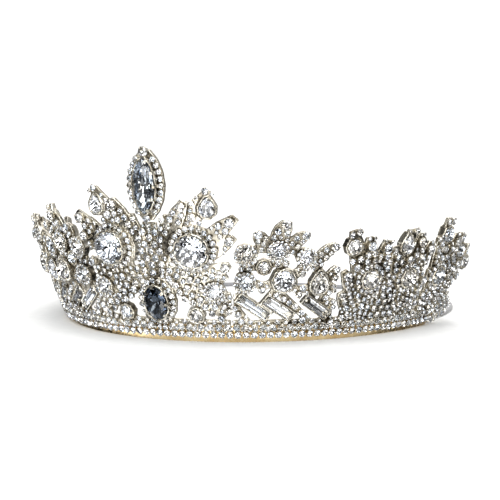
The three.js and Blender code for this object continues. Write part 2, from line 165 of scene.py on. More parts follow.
def tube_mesh(name, rings):
    """A closed skin over rings of points, with a flat face at both ends."""
    count = len(rings[0])
    points = [point for ring in rings for point in ring]
    faces = ring_faces(len(rings), count)
    faces.append(tuple(range(count)))
    faces.append(tuple(range(len(points) - count, len(points))))
    return closed_mesh(name, points, faces)


def turned_mesh(name, profile, sides):
    """A profile of (radius, height) turned about Z. It starts and ends on the axis."""
    points = [Vector((0, 0, profile[0][1]))]
    for radius, height in profile[1:-1]:
        points += circle(radius, sides, height)
    points.append(Vector((0, 0, profile[-1][1])))
    last = len(points) - 1
    faces = ring_faces(len(profile) - 2, sides, 1)
    faces += fan_faces(0, 1, sides) + fan_faces(last, last - sides, sides)
    return closed_mesh(name, points, faces)


def joined_mesh(name, meshes):
    """Several meshes as one."""
    shape = bmesh.new()
    for mesh in meshes:
        shape.from_mesh(mesh)
    whole = bpy.data.meshes.new(name)
    for material in meshes[0].materials:
        whole.materials.append(material)
    shape.to_mesh(whole)
    shape.free()
    return whole


def add_piece(name, mesh, slot, *nodes, materials=()):
    """Puts a finished piece in the scene under the root body, and hides the CAD nodes it stands for."""
    for material in materials:
        mesh.materials.append(material)
    piece = linked_object(name, mesh)
    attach(piece, "root")
    if nodes:
        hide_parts(*nodes)
    return piece


def soften(mesh, degrees):
    """Smooth shading, kept sharp where faces meet at more than this angle."""
    mesh.shade_smooth()
    mesh.set_sharp_from_angle(angle=math.radians(degrees))
    return mesh


print("a circle's quarter points:", [tuple(round(part, 3) for part in point) for point in circle(1, 4, 0)])

# %% [markdown]
# ## Small helpers for nodes
#
# Finishes, the trees that repeat pieces, and the room light are all node trees.
# One helper makes an adder for a tree. The adder takes a node's kind and what
# goes into its sockets, so a tree reads as a list of steps.

# %% Node helpers
def wire(tree, value, socket):
    """Links another node's output to a socket, or sets a plain value on it."""
    if isinstance(value, bpy.types.NodeSocket):
        tree.links.new(value, socket)
    else:
        socket.default_value = value


def node_adder(tree):
    """The adder of one tree."""
    def add(kind, sockets=(), gives=None, **settings):
        """Adds a node. Its inputs go by name, or by number where names repeat.
        Returns the output called `gives`, or else its first output."""
        node = tree.nodes.new(kind)
        for setting, value in settings.items():
            setattr(node, setting, value)
        for label, value in dict(sockets).items():
            wanted = [s for s in node.inputs if s.enabled and s.name == label] or [node.inputs[label]]
            wire(tree, value, wanted[0])
        return next((s for s in node.outputs if s.enabled and gives in (None, s.name)), None)

    return add


def map_range(add, value, before, after):
    """A value moved from one (low, high) range to another."""
    return add("ShaderNodeMapRange", {
        "Value": value, "From Min": before[0], "From Max": before[1],
        "To Min": after[0], "To Max": after[1],
    })


def ramp(add, factor, stops):
    """A colour ramp with (position, colour) stops."""
    colour = add("ShaderNodeValToRGB", {"Fac": factor}, "Color")
    elements = colour.node.color_ramp.elements
    while len(elements) < len(stops):
        elements.new(0.5)
    for element, (position, tone) in zip(elements, stops):
        element.position = position
        element.color = (*tone, 1)
    return colour


# %% [markdown]
# ## Finishes: plated metal
#
# Brass is plated twice here: warm gold on the band, pale gold on the castings.
# Polished plate is never even, so its roughness is broken up by noise, and a
# faint relief bends the reflections. Hollows are darker, as tarnish and as painted
# shade, and worn edges paler, which the Pointiness output gives on a dense mesh.

# %% Metal finishes
NOISE_RANGE = (0.3, 0.7)  # where a noise's values mostly lie


def shader(name):
    """A new material, its node adder and a helper that feeds its Principled shader."""
    material = bpy.data.materials.new(name)
    material.use_nodes = True
    tree = material.node_tree
    principled = tree.nodes["Principled BSDF"]
    return material, node_adder(tree), lambda label, value: wire(tree, value, principled.inputs[label])


def plated_metal(name, hollow, plain, worn, roughness):
    """Polished plate over brass: three tones, an uneven polish and a faint relief."""
    material, add, feed = shader(name)
    place = add("ShaderNodeTexCoord", gives="Object")
    cloud = add("ShaderNodeTexNoise", {"Vector": place, "Scale": 140.0, "Detail": 6.0}, "Fac")
    fine = add("ShaderNodeTexNoise", {"Vector": place, "Scale": 800.0, "Detail": 4.0}, "Fac")
    edges = add("ShaderNodeNewGeometry", gives="Pointiness")
    # Low pointiness darkens the hollows, as tarnish and as painted shade; high pointiness pales worn edges.
    hollow_shade_and_edge_wear = map_range(add, edges, (0.44, 0.56), (-0.2, 0.2))
    tone = add("ShaderNodeMath", {0: hollow_shade_and_edge_wear, 1: cloud}, operation="ADD")
    feed("Base Color", ramp(add, tone, [(0.32, hollow), (0.52, plain), (0.72, worn)]))
    feed("Roughness", map_range(add, fine, NOISE_RANGE, (roughness * 0.6, roughness * 1.5)))
    feed("Normal", add("ShaderNodeBump", {"Height": fine, "Strength": 0.2, "Distance": 0.0002}))
    feed("Metallic", 1.0)
    return material


# The first tone of each metal is the hollows' tarnish and painted shade.
band_gold = plated_metal("band_gold", (0.54, 0.36, 0.14), (0.72, 0.50, 0.23), (0.86, 0.66, 0.36), 0.26)
pale_gold = plated_metal("pale_gold", (0.12, 0.105, 0.08), (0.42, 0.385, 0.32), (0.74, 0.71, 0.64), 0.2)
print("metals:", band_gold.name, pale_gold.name)

# %% [markdown]
# ## Finishes: cut crystal
#
# A rhinestone is clear glass with a mirror foil on its pointed back. Light enters
# the flat table, bounces off the foil facets and comes out again, so each stone
# shows black and white facets that change with the view. Clear glass alone can't
# do that, so a stone here has both: refracting glass on its front faces and a
# mirror on the back faces of the same mesh.

# %% Crystal finishes
def crystal_glass(name, cool, warm):
    """Clear glass whose faint tint differs from stone to stone."""
    material, add, feed = shader(name)
    lot = add("ShaderNodeAttribute", gives="Fac", attribute_name="lot")
    feed("Base Color", ramp(add, lot, [(0.0, cool), (0.5, (0.97, 0.98, 1.0)), (1.0, warm)]))
    feed("Roughness", 0.0)
    feed("IOR", 1.58)
    feed("Transmission Weight", 1.0)
    return material


def mirror_foil(name, dull, bright):
    """The foil behind a stone, a little cloudy where its lacquer is thin."""
    material, add, feed = shader(name)
    place = add("ShaderNodeTexCoord", gives="Object")
    cloud = add("ShaderNodeTexNoise", {"Vector": place, "Scale": 420.0, "Detail": 3.0}, "Fac")
    feed("Base Color", ramp(add, cloud, [(0.35, dull), (0.6, bright)]))
    feed("Metallic", 1.0)
    feed("Roughness", 0.02)
    return material


crystal = crystal_glass("crystal", (0.90, 0.95, 1.0), (1.0, 0.96, 0.88))
smoky_crystal = crystal_glass("smoky_crystal", (0.30, 0.36, 0.44), (0.36, 0.40, 0.46))
silver_foil = mirror_foil("silver_foil", (0.78, 0.79, 0.82), (0.97, 0.97, 0.98))
steel_foil = mirror_foil("steel_foil", (0.16, 0.19, 0.23), (0.34, 0.38, 0.44))
grey_foil = mirror_foil("grey_foil", (0.34, 0.38, 0.44), (0.72, 0.76, 0.82))
CLEAR = (crystal, silver_foil)
SMOKY = (smoky_crystal, steel_foil)
GREY = (crystal, grey_foil)
print("stones:", crystal.name, smoky_crystal.name)

# %% [markdown]
# ## Finishes: elastic cord
#
# Hat elastic is rubber inside a braid of grey thread. The braid's own relief is
# in the mesh. The colour follows the cord's UV map, so the threads stay aligned
# with it, and a soft sheen comes from the fibres.

# %% Cord finish
CORD_DIAMETER = 1.8      # mm


def braided_elastic():
    """Matt grey thread in three tones, with a soft sheen."""
    material, add, feed = shader("braided_elastic")
    uv = add("ShaderNodeUVMap", uv_map="cord_uv")
    threads = add("ShaderNodeTexNoise", {
        "Vector": uv, "Scale": 7.0, "Detail": 5.0, "Roughness": 0.7}, "Fac")
    feed("Base Color", ramp(add, threads, [
        (0.3, (0.10, 0.10, 0.11)), (0.5, (0.25, 0.25, 0.26)), (0.7, (0.42, 0.42, 0.43))]))
    feed("Roughness", map_range(add, threads, NOISE_RANGE, (0.7, 0.9)))
    feed("Normal", add("ShaderNodeBump", {"Height": threads, "Strength": 0.5, "Distance": 0.0001}))
    feed("Sheen Weight", 0.3)
    return material


elastic = braided_elastic()
print("cord finish:", elastic.name)

# %% [markdown]
# ## The elastic cord
#
# The cord is one loop from the right crimp to the left one. Unworn, it drops to
# the surface behind the ends and lies there in an easy curve. Its centre line is
# a smooth curve through listed points, and the braid is a relief worked out
# from two sets of threads that wind round it in opposite directions.

# %% Cord route
CORD_ROUTE = [  # in mm, from the right crimp's mouth to the left one's
    (72.1, 43.8, 3.6), (72.2, 47.4, 3.3), (72.5, 52.9, 2.1), (72.8, 57.9, 1.2), (72.6, 64.9, 0.95),
    (71.6, 74.9, 0.95), (68.6, 85.9, 0.95), (62.4, 96.9, 0.95), (52.6, 107.1, 0.95), (39, 115.3, 0.95),
    (23, 120.5, 0.95), (6, 122.5, 0.95), (-12, 121.5, 0.95), (-28.4, 117.3, 0.95), (-43.4, 109.7, 0.95),
    (-55.6, 99.5, 0.95), (-64, 88.3, 0.95), (-69.4, 76.5, 0.95), (-72, 65.3, 0.95), (-72.8, 57.9, 1.2),
    (-72.5, 52.9, 2.1), (-72.2, 47.4, 3.3), (-72.1, 43.8, 3.6),
]
STEPS_PER_SPAN = 24


def smooth_through(points, steps):
    """A smooth curve through every point, with `steps` pieces between two of them."""
    points = [Vector(point) * MM for point in points]
    ends = [points[0] * 2 - points[1], *points, points[-1] * 2 - points[-2]]
    curve = []
    for before, start, end, after in zip(ends, ends[1:], ends[2:], ends[3:]):
        for i in range(steps):
            t = i / steps
            curve.append(0.5 * (
                2 * start + (end - before) * t + (2 * before - 5 * start + 4 * end - after) * t ** 2
                + (3 * start - before - 3 * end + after) * t ** 3))
    return [*curve, points[-1]]


cord_line = smooth_through(CORD_ROUTE, STEPS_PER_SPAN)
cord_length = sum((b - a).length for a, b in zip(cord_line, cord_line[1:]))
print("cord length:", round(cord_length, 4), "m in", len(cord_line), "points")

# %% Cord mesh
THREADS = 8              # threads that wind each way round the braid
THREAD_TURN = 12.0       # mm along the cord for one full turn of a thread
BRAID_RELIEF = 0.05      # depth between the threads, as a share of the radius
CORD_SIDES = 24


def braid_height(angle, run):
    """How high the braid stands, from 0 to 1, at an angle and a length in mm."""
    turn = 2 * math.pi * run / THREAD_TURN
    left = abs(math.sin(THREADS * (angle + turn) / 2))
    right = abs(math.sin(THREADS * (angle - turn) / 2))
    return max(left, right)


def cord_mesh(line):
    """The braid round a line of points, with a UV map in mm round and along it."""
    rings = []
    runs = [0.0]
    side = Vector((0, 0, 1))
    for i, point in enumerate(line):
        run = (line[min(i + 1, len(line) - 1)] - line[max(i - 1, 0)]).normalized()
        side = (side - run * side.dot(run)).normalized()
        across = run.cross(side)
        if i:
            runs.append(runs[-1] + (point - line[i - 1]).length / MM)
        ring = []
        for k in range(CORD_SIDES):
            angle = 2 * math.pi * k / CORD_SIDES
            relief = 1 - BRAID_RELIEF * (1 - braid_height(angle, runs[-1]))
            away = side * math.cos(angle) + across * math.sin(angle)
            ring.append(point + away * relief * CORD_DIAMETER / 2 * MM)
        rings.append(ring)
    mesh = tube_mesh("elastic_cord_braid", rings)
    uv = mesh.uv_layers.new(name="cord_uv")
    for polygon in mesh.polygons:
        around = [index % CORD_SIDES for index in polygon.vertices]
        seam = max(around) - min(around) > CORD_SIDES / 2
        for loop, index in zip(polygon.loop_indices, polygon.vertices):
            step = index % CORD_SIDES
            turn = (step + CORD_SIDES if seam and step < CORD_SIDES / 2 else step) / CORD_SIDES
            uv.data[loop].uv = (turn * math.pi * CORD_DIAMETER, runs[index // CORD_SIDES])
    return soften(mesh, 60)


cord = add_piece("elastic_cord_braid", cord_mesh(cord_line), "elastic", "elastic_cord", materials=[elastic])
print("cord:", len(cord.data.polygons), "faces")

# %% [markdown]
# ## The wall that every piece follows
#
# The castings all lie on one curved wall. Its lower edge is part of an ellipse,
# and it leans out at the rim and straightens as it rises. One function turns
# "so far along the rim, so far up, so far out" into a point, so that rows of
# stones, leaves and cups can be planned flat, as a goldsmith draws them. The
# lengths along the ellipse have no formula, so they are added up in small steps.

# %% The wall
RIM_HALF_WIDTH = 74      # mm, half the width of the ellipse
RIM_REACH = 86           # from the ellipse's centre to the front
RIM_CENTRE_Y = 50.08     # puts the origin midway from front to back
RIM_LEAN = math.radians(24)
UPRIGHT_AT = 75          # the wall would stand upright this far up
ARC_STEP = math.radians(0.25)
ARC_COUNT = 440          # reaches past the rim's ends

arc_lengths = [0.0]
while len(arc_lengths) < ARC_COUNT:
    middle = (len(arc_lengths) - 0.5) * ARC_STEP
    step = math.hypot(RIM_HALF_WIDTH * math.cos(middle), RIM_REACH * math.sin(middle)) * ARC_STEP
    arc_lengths.append(arc_lengths[-1] + step)


def angle_at(along):
    """The ellipse's angle at a length along the rim from the middle."""
    after = bisect_right(arc_lengths, abs(along))
    share = (abs(along) - arc_lengths[after - 1]) / (arc_lengths[after] - arc_lengths[after - 1])
    return math.copysign((after - 1 + share) * ARC_STEP, along)


def wall(along, up, out=0.0):
    """A point of the wall, in metres, from millimetres along, up and out."""
    angle = angle_at(along)
    away = Vector((math.sin(angle) / RIM_HALF_WIDTH, -math.cos(angle) / RIM_REACH)).normalized()
    lean = RIM_LEAN * (1 - up / UPRIGHT_AT)
    bend = UPRIGHT_AT / RIM_LEAN
    spread_out = bend * (math.cos(lean) - math.cos(RIM_LEAN)) + out * math.cos(lean)
    return Vector((
        RIM_HALF_WIDTH * math.sin(angle) + away.x * spread_out,
        RIM_CENTRE_Y - RIM_REACH * math.cos(angle) + away.y * spread_out,
        bend * (math.sin(RIM_LEAN) - math.sin(lean)) - out * math.sin(lean),
    )) * MM


def seat(along, up, turn=0.0, out=0.0):
    """The matrix that lays a flat piece on the wall: x along, y up, z outwards."""
    near = 0.5  # mm to either side, which give the wall's two directions
    right = (wall(along + near, up) - wall(along - near, up)).normalized()
    rise = (wall(along, up + near) - wall(along, up - near)).normalized()
    outward = right.cross(rise).normalized()
    matrix = Matrix((right, outward.cross(right), outward)).transposed().to_4x4()
    matrix.translation = wall(along, up) + outward * out * MM
    return matrix @ Matrix.Rotation(math.radians(turn), 4, "Z")


print("wall: the middle's foot is at", tuple(round(value, 4) for value in wall(0, 0)))

# %% [markdown]
# ## Outlines of the cuts
#
# Every cut starts from an outline: round, oval, navette (pointed at both ends),
# pear or baguette. Each is a circle that a small formula reshapes. The facets are
# drawn between scaled copies of the outline, so one recipe serves all but the
# baguette.

# %% Outlines
NAVETTE_POINT = 1.55     # above 1, a circle's sides draw in to two points
PEAR_TAPER = 0.42        # how much the top half narrows and the lower half widens
PEAR_HOLLOW = 0.3        # how much both ends narrow
PEAR_SCALE = 0.95        # brings the pear to about its width


def outline(stone, sides, grow=0.0):
    """The stone's outline as points in mm, moved out by a margin square to its sides."""
    points = []
    for i in range(sides):
        angle = 2 * math.pi * i / sides
        side, rise = math.cos(angle), math.sin(angle)
        if stone["cut"] == "navette":
            side = math.copysign(abs(side) ** NAVETTE_POINT, side)
        if stone["cut"] == "pear":
            side *= (1 - PEAR_TAPER * rise - PEAR_HOLLOW * rise * rise) / PEAR_SCALE
        if stone["cut"] == "baguette":
            reach = max(abs(side), abs(rise))
            side, rise = side / reach, rise / reach
        points.append(Vector((side * stone["width"] / 2, rise * stone["length"] / 2, 0)))
    ring = []
    for i, point in enumerate(points):
        run = points[(i + 1) % sides] - points[i - 1]
        ring.append(point + Vector((run.y, -run.x, 0)).normalized() * grow)
    return ring


unit_pear = {"cut": "pear", "width": 1, "length": 1}
print("a unit pear is", round(max(point.x for point in outline(unit_pear, 96)) * 2, 3), "wide")

# %% [markdown]
# ## The large stones
#
# A table names each large stone, its place on the wall and its cut. The numbers
# are the setter's plan: along the rim, up the wall, width and length. The stones
# of the right half are repeated on the left.

# %% Table of large stones
CUP_WALL = 1.0           # from the stone to the outside of its cup
SEAT_BASE = 0.2          # what the cup's floor adds to the height of the seat
BACK_SHARE = 0.34        # depth of the pointed back, as a share of the width
HALO_FRONT = 0.9         # front of the flat rims that carry small stones


def stone_row(name, cut, along, up, width, length=None, turn=0, halo=0, kind="plain"):
    return {
        "name": name, "cut": cut, "along": along, "up": up, "width": width,
        "length": length or width, "turn": turn, "halo": halo, "kind": kind,
    }


LARGE_STONES = {
    "centre_panel": [
        stone_row("oval_stone", "oval", 0, 16.4, 8.6, 12.6, halo=2, kind="smoky"),
        stone_row("large_round", "round", 13.2, 36.5, 11.4, halo=2),
        stone_row("peak_pear", "pear", 17.9, 51.6, 5, 7),
        stone_row("flower_round_a", "round", 19.4, 21, 5.8, kind="flower"),
        stone_row("ring_round", "round", 12.8, 11.4, 4.8),
    ],
    "lattice": [
        stone_row("flower_round_b", "round", 28.6, 24.6, 5.8, kind="flower"),
        stone_row("flower_round_c", "round", 28.8, 34.8, 5.8, kind="flower"),
        stone_row("flower_round_d", "round", 38.4, 36, 5.8, kind="flower"),
        stone_row("flower_round_e", "round", 47.2, 33.4, 5.4, kind="flower"),
        stone_row("lattice_round", "round", 34.4, 30, 4.2),
        stone_row("rimmed_round", "round", 40.6, 25.2, 7.6),
        stone_row("lattice_pear", "pear", 52.4, 24, 5.6, 8.6),
        stone_row("baguette_a", "baguette", 31.4, 14.6, 3, 12.4, turn=54),
        stone_row("baguette_b", "baguette", 39.6, 14.2, 3, 11.6, turn=54),
        stone_row("baguette_c", "baguette", 52.6, 14, 3, 11, turn=54),
    ],
    "spray": [
        stone_row("spray_round_a", "round", 63, 36.6, 5.6),
        stone_row("spray_round_b", "round", 70.8, 24, 6.6, halo=1.8),
        stone_row("spray_pear", "pear", 84.6, 36.2, 5.2, 7.4),
        stone_row("spray_round_c", "round", 88, 23, 6.6, halo=1.8),
    ],
    "end_spray": [
        stone_row("end_round_a", "round", 105.8, 38, 5.8),
        stone_row("end_round_b", "round", 105.4, 22, 6.6, halo=1.8),
        stone_row("end_round_c", "round", 118.6, 30.6, 5.4),
        stone_row("end_round_d", "round", 128.4, 25, 4.8),
    ],
    "finial_setting": [
        stone_row("finial_navette", "navette", 0, 58.8, 8.4, 19.5, halo=2, kind="finial"),
    ],
}


def girdle_height(stone):
    """How far the widest part of a stone stands out of the wall."""
    return BACK_SHARE * stone["width"] + SEAT_BASE


print("large stones:", sum(len(rows) for rows in LARGE_STONES.values()), "rows")

# %% [markdown]
# ## Facets of a brilliant
#
# A brilliant has a flat table, a crown of star, kite and half facets, a thin
# girdle, and a pointed back of long main facets and lower halves. Each kite is
# planar when its middle corner lies on the plane from the table's corner to the
# girdle, so that corner's height is worked out and not guessed. A baguette has
# straight steps in their place.

# %% Facet recipes
TABLE_SHARE = 0.56       # of the outline
KITE_SHARE = 0.80        # where the star facets meet the half facets
BACK_JOINT_SHARE = 0.30  # where the lower halves meet
CULET_SHARE = 0.03
CROWN_SHARE = 0.19       # height of the crown, as a share of the width
GIRDLE_SHARE = 0.05
BACK_FREE = 0.94         # the back stops short of its depth, so it clears the cup's floor
STEP_CUT = [  # a baguette's levels from back to table: inset and height over its width
    (0.47, -0.3), (0.24, -0.2), (0, 0), (0, 0.06), (0.14, 0.17), (0.28, 0.23),
]


def brilliant(stone, corners=8):
    """Points, faces and foil flags of a brilliant whose girdle starts at z = 0."""
    sides = corners * 2
    rim = outline(stone, sides)
    half_step = math.cos(math.pi / corners)
    crown = CROWN_SHARE * stone["width"]
    back = BACK_SHARE * stone["width"] * BACK_FREE
    girdle = GIRDLE_SHARE * stone["width"]
    kite_height = crown * (1 - KITE_SHARE * half_step) / (1 - TABLE_SHARE)
    joint_depth = back * (1 - BACK_JOINT_SHARE * half_step)

    def level(share, height, odd=None):
        picked = rim if odd is None else rim[odd::2]
        return [Vector((point.x * share, point.y * share, height)) for point in picked]

    points = [
        *level(TABLE_SHARE, girdle + crown, 0), *level(KITE_SHARE, girdle + kite_height, 1),
        *level(1, girdle), *level(1, 0),
        *level(BACK_JOINT_SHARE, -joint_depth, 1), *level(CULET_SHARE, -back, 0),
    ]
    table, kite, top = 0, corners, 2 * corners
    low, joint, culet = top + sides, top + 2 * sides, top + 2 * sides + corners
    faces = [tuple(range(table, table + corners))]
    backs = [tuple(range(culet, culet + corners))]
    for j in range(corners):
        after, before = (j + 1) % corners, (j - 1) % corners
        here, half, there = 2 * j, 2 * j + 1, (2 * j + 2) % sides
        faces.append((table + j, kite + j, table + after))
        faces.append((table + j, kite + before, top + here, kite + j))
        faces.append((kite + j, top + here, top + half))
        faces.append((kite + j, top + half, top + there))
        faces.append((top + here, top + half, low + half, low + here))
        faces.append((top + half, top + there, low + there, low + half))
        backs.append((joint + j, low + here, low + half))
        backs.append((joint + j, low + half, low + there))
        backs.append((joint + before, low + here, joint + j, culet + j))
    return points, faces + backs, [False] * len(faces) + [True] * len(backs)


def step_cut(stone):
    """Points, faces and foil flags of a baguette: rectangles inset by equal steps."""
    width, length = stone["width"], stone["length"]
    points = []
    for inset, height in STEP_CUT:
        x = width * (0.5 - inset)
        y = length / 2 - width * inset
        points += [Vector((a * x, b * y, height * width)) for a, b in ((1, -1), (1, 1), (-1, 1), (-1, -1))]
    last = len(points) - 1
    faces = ring_faces(len(STEP_CUT), 4)
    faces += [(0, 1, 2, 3), (last - 3, last - 2, last - 1, last)]
    flags = [min(points[index].z for index in face) < 0 for face in faces]
    return points, faces, flags


def cut_stone(stone, name, matrix):
    """The finished mesh of a large stone in its seat."""
    points, faces, flags = step_cut(stone) if stone["cut"] == "baguette" else brilliant(stone)
    points = [matrix @ (point * MM) for point in points]
    mesh = closed_mesh(name, points, faces, flags)
    indices = [int(flag.value) for flag in mesh.attributes["foil"].data]
    mesh.polygons.foreach_set("material_index", indices)
    lot = mesh.attributes.new("lot", "FLOAT", "POINT")
    share = random.Random(name).random()
    lot.data.foreach_set("value", [share] * len(mesh.vertices))
    return mesh


print("a round brilliant has", len(brilliant(LARGE_STONES["centre_panel"][1])[1]), "faces")

# %% [markdown]
# ## Cutting the large stones
#
# Each row of the table gives one stone or a mirrored pair. A stone is cut in its
# own flat drawing and then carried to its seat by the seat's matrix. It replaces
# the plain stone of the CAD, in the same place and at the same size.

# %% Large stones
def both_halves(rows):
    """Each row with its suffix, and its mirror image where it isn't on the middle."""
    for row in rows:
        if row["along"] == 0:
            yield row, ""
        else:
            yield row, "_right"
            yield {**row, "along": -row["along"], "turn": -row["turn"]}, "_left"


large_count = 0
for rows in LARGE_STONES.values():
    for stone, suffix in both_halves(rows):
        node = stone["name"] + suffix
        matrix = seat(stone["along"], stone["up"], stone["turn"], girdle_height(stone))
        add_piece(
            node + "_cut", cut_stone(stone, node + "_cut", matrix),
            "dark_crystal" if stone["kind"] == "smoky" else "crystal", node,
            materials={"smoky": SMOKY, "finial": GREY}.get(stone["kind"], CLEAR),
        )
        large_count += 1
print("large stones cut:", large_count)

# %% [markdown]
# ## The castings
#
# Cast openwork has no sharp edges: wax models are rounded by hand and the joints
# fill with solder. The CAD castings are faceted, so each is rebuilt from small
# cells and smoothed. That fuses the leaves, links and cups into one skin with soft
# edges. Half of the faces are then collapsed, most of them where it is flat,
# because a fine grid isn't needed there.

# %% Castings
CASTINGS = [
    "centre_panel", "finial_setting", "lattice_right", "lattice_left",
    "spray_right", "spray_left", "end_spray_right", "end_spray_left",
]
CELL = 0.30 * MM
SAME_POINT = 1e-6        # m, corners nearer than this are joined
CASTING_STEPS = [
    ("REMESH", {"mode": "VOXEL", "voxel_size": CELL}),
    ("SMOOTH", {"factor": 0.5, "iterations": 3}),
    ("DECIMATE", {"ratio": 0.5}),
]


def merged_copy(node):
    """A CAD node's mesh with its loose triangles joined."""
    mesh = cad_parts[node].data.copy()
    mesh.materials.clear()
    return reshaped(mesh, lambda shape: bmesh.ops.remove_doubles(shape, verts=shape.verts, dist=SAME_POINT))


def evaluated_mesh(carrier):
    """What an object's modifiers make, as a plain mesh. The object is removed."""
    depsgraph = bpy.context.evaluated_depsgraph_get()
    mesh = bpy.data.meshes.new_from_object(
        carrier.evaluated_get(depsgraph), preserve_all_data_layers=True, depsgraph=depsgraph)
    bpy.data.objects.remove(carrier)
    return mesh


def applied(name, mesh, modifiers):
    """The mesh with a list of (kind, settings) modifiers applied."""
    carrier = linked_object(name, mesh)
    for kind, settings in modifiers:
        modifier = carrier.modifiers.new(kind.lower(), kind)
        for setting, value in settings.items():
            setattr(modifier, setting, value)
    return evaluated_mesh(carrier)


for node in CASTINGS:
    mesh = applied(node, merged_copy(node), CASTING_STEPS)
    mesh.shade_smooth()
    add_piece(node + "_cast", mesh, "casting_metal", node, materials=[pale_gold])
    print(node, len(mesh.polygons), "faces")

# %% [markdown]
# ## The base band
#
# The band is a plain strip, 6.6 mm high and 1.2 mm thick, with its long edges
# broken by a file. It is swept along the rim as a section with rounded corners,
# which catch a bright line of light, as a square edge wouldn't.

# %% Band
BAND_HALF_LENGTH = 112   # mm from the middle to each end
BAND_HEIGHT = 6.6
BAND_THICKNESS = 1.2
BAND_EDGE = 0.35         # radius of the broken edges
BAND_STEPS = 224


def band_section():
    """(up, out) points round the strip, with three points at each broken edge."""
    low, high, half = 0.0, BAND_HEIGHT, BAND_THICKNESS / 2
    section = []
    for up, out, start in ((low, -half, 180), (low, half, 270), (high, half, 0), (high, -half, 90)):
        centre_up = up + math.copysign(BAND_EDGE, high / 2 - up)
        centre_out = out - math.copysign(BAND_EDGE, out)
        for turn in (0, 45, 90):
            angle = math.radians(start + turn)
            corner = (centre_up + BAND_EDGE * math.sin(angle), centre_out + BAND_EDGE * math.cos(angle))
            section.append(corner)
    return section


band_rings = []
for i in range(BAND_STEPS + 1):
    place = BAND_HALF_LENGTH * (2 * i / BAND_STEPS - 1)
    ring = [wall(place, up, out) for up, out in band_section()]
    band_rings.append([Vector((point.x, point.y, max(point.z, 0))) for point in ring])
band = soften(tube_mesh("base_band_strip", band_rings), 50)
add_piece("base_band_strip", band, "band_gold", "base_band", materials=[band_gold])
print("band:", len(band.polygons), "faces")

# %% [markdown]
# ## The crimps
#
# A crimp is a short brass tube soldered inside each end. The cord goes in at its
# mouth, and the tube is squeezed in two places to hold it. It is turned as a tube
# with a rolled mouth, and the squeezed places are pressed in by a smooth rule.

# %% Crimps
CRIMP_RADIUS = 1.6
CRIMP_SIDES = 32
CRIMP_MIDDLE = 3         # mm from the closed end
SQUEEZED_AT = (1.7, 3.7)  # mm from the closed end
SQUEEZE_DEPTH = 0.22     # share of the radius pressed in
SQUEEZE_REACH = 0.55     # mm along the tube
CRIMP_PROFILE = [  # radius and distance from the closed end, in mm
    (0, 0), (1.15, 0), (1.5, 0.3), (1.6, 0.8), (1.6, 5.2), (1.7, 5.6), (1.7, 6.0), (1.5, 6.25),
    (1.2, 6.2), (1.0, 5.9), (1.0, 5.0), (0, 5.0),
]


def crimp_mesh(name, middle):
    """A crimp whose mouth points along Y. Swapping two axes turns a skin inside out,
    so the faces are turned outwards again."""
    mesh = turned_mesh(name, CRIMP_PROFILE, CRIMP_SIDES)
    for vertex in mesh.vertices:
        x, y, z = vertex.co
        squeeze = SQUEEZE_DEPTH * sum(math.exp(-((z - spot) / SQUEEZE_REACH) ** 2) for spot in SQUEEZED_AT)
        pressed = x * (1 - squeeze * abs(x) / CRIMP_RADIUS)
        vertex.co = middle + Vector((pressed, z - CRIMP_MIDDLE, y)) * MM
    return soften(faced_outwards(mesh), 40)


for side in ("right", "left"):
    low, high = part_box("cord_crimp_" + side)
    mesh = crimp_mesh("crimp_tube_" + side, (low + high) / 2)
    add_piece("crimp_tube_" + side, mesh, "band_gold", "cord_crimp_" + side, materials=[band_gold])
print("crimps at", tuple(round(value, 4) for value in (low + high) / 2))

# %% [markdown]
# ## Geometry Nodes: pieces on seats
#
# A thousand small stones are the same stone, set a thousand times. The seats are
# points that know which way is outwards and how wide their stone is. The tree puts
# one piece on each seat, turns it, tilts it a little as a hand setter does, gives
# it a lot number for its tint, and makes the whole real geometry with its finishes.

# %% Tree: pieces on seats
def node_tree(name, inputs):
    """A Geometry Nodes tree, its given inputs, its result's socket and its node adder."""
    tree = bpy.data.node_groups.new(name, "GeometryNodeTree")
    for label, kind in [("Geometry", "NodeSocketGeometry"), *inputs]:
        tree.interface.new_socket(label, in_out="INPUT", socket_type=kind)
    tree.interface.new_socket("Geometry", in_out="OUTPUT", socket_type="NodeSocketGeometry")
    given = tree.nodes.new("NodeGroupInput").outputs
    result = tree.nodes.new("NodeGroupOutput").inputs["Geometry"]
    return tree, given, result, node_adder(tree)


SEAT_INPUTS = [
    ("Piece", "NodeSocketObject"), ("Tilt", "NodeSocketFloat"), ("Turn", "NodeSocketFloat"),
    ("Seed", "NodeSocketInt"), ("Finish", "NodeSocketMaterial"), ("Back finish", "NodeSocketMaterial"),
]


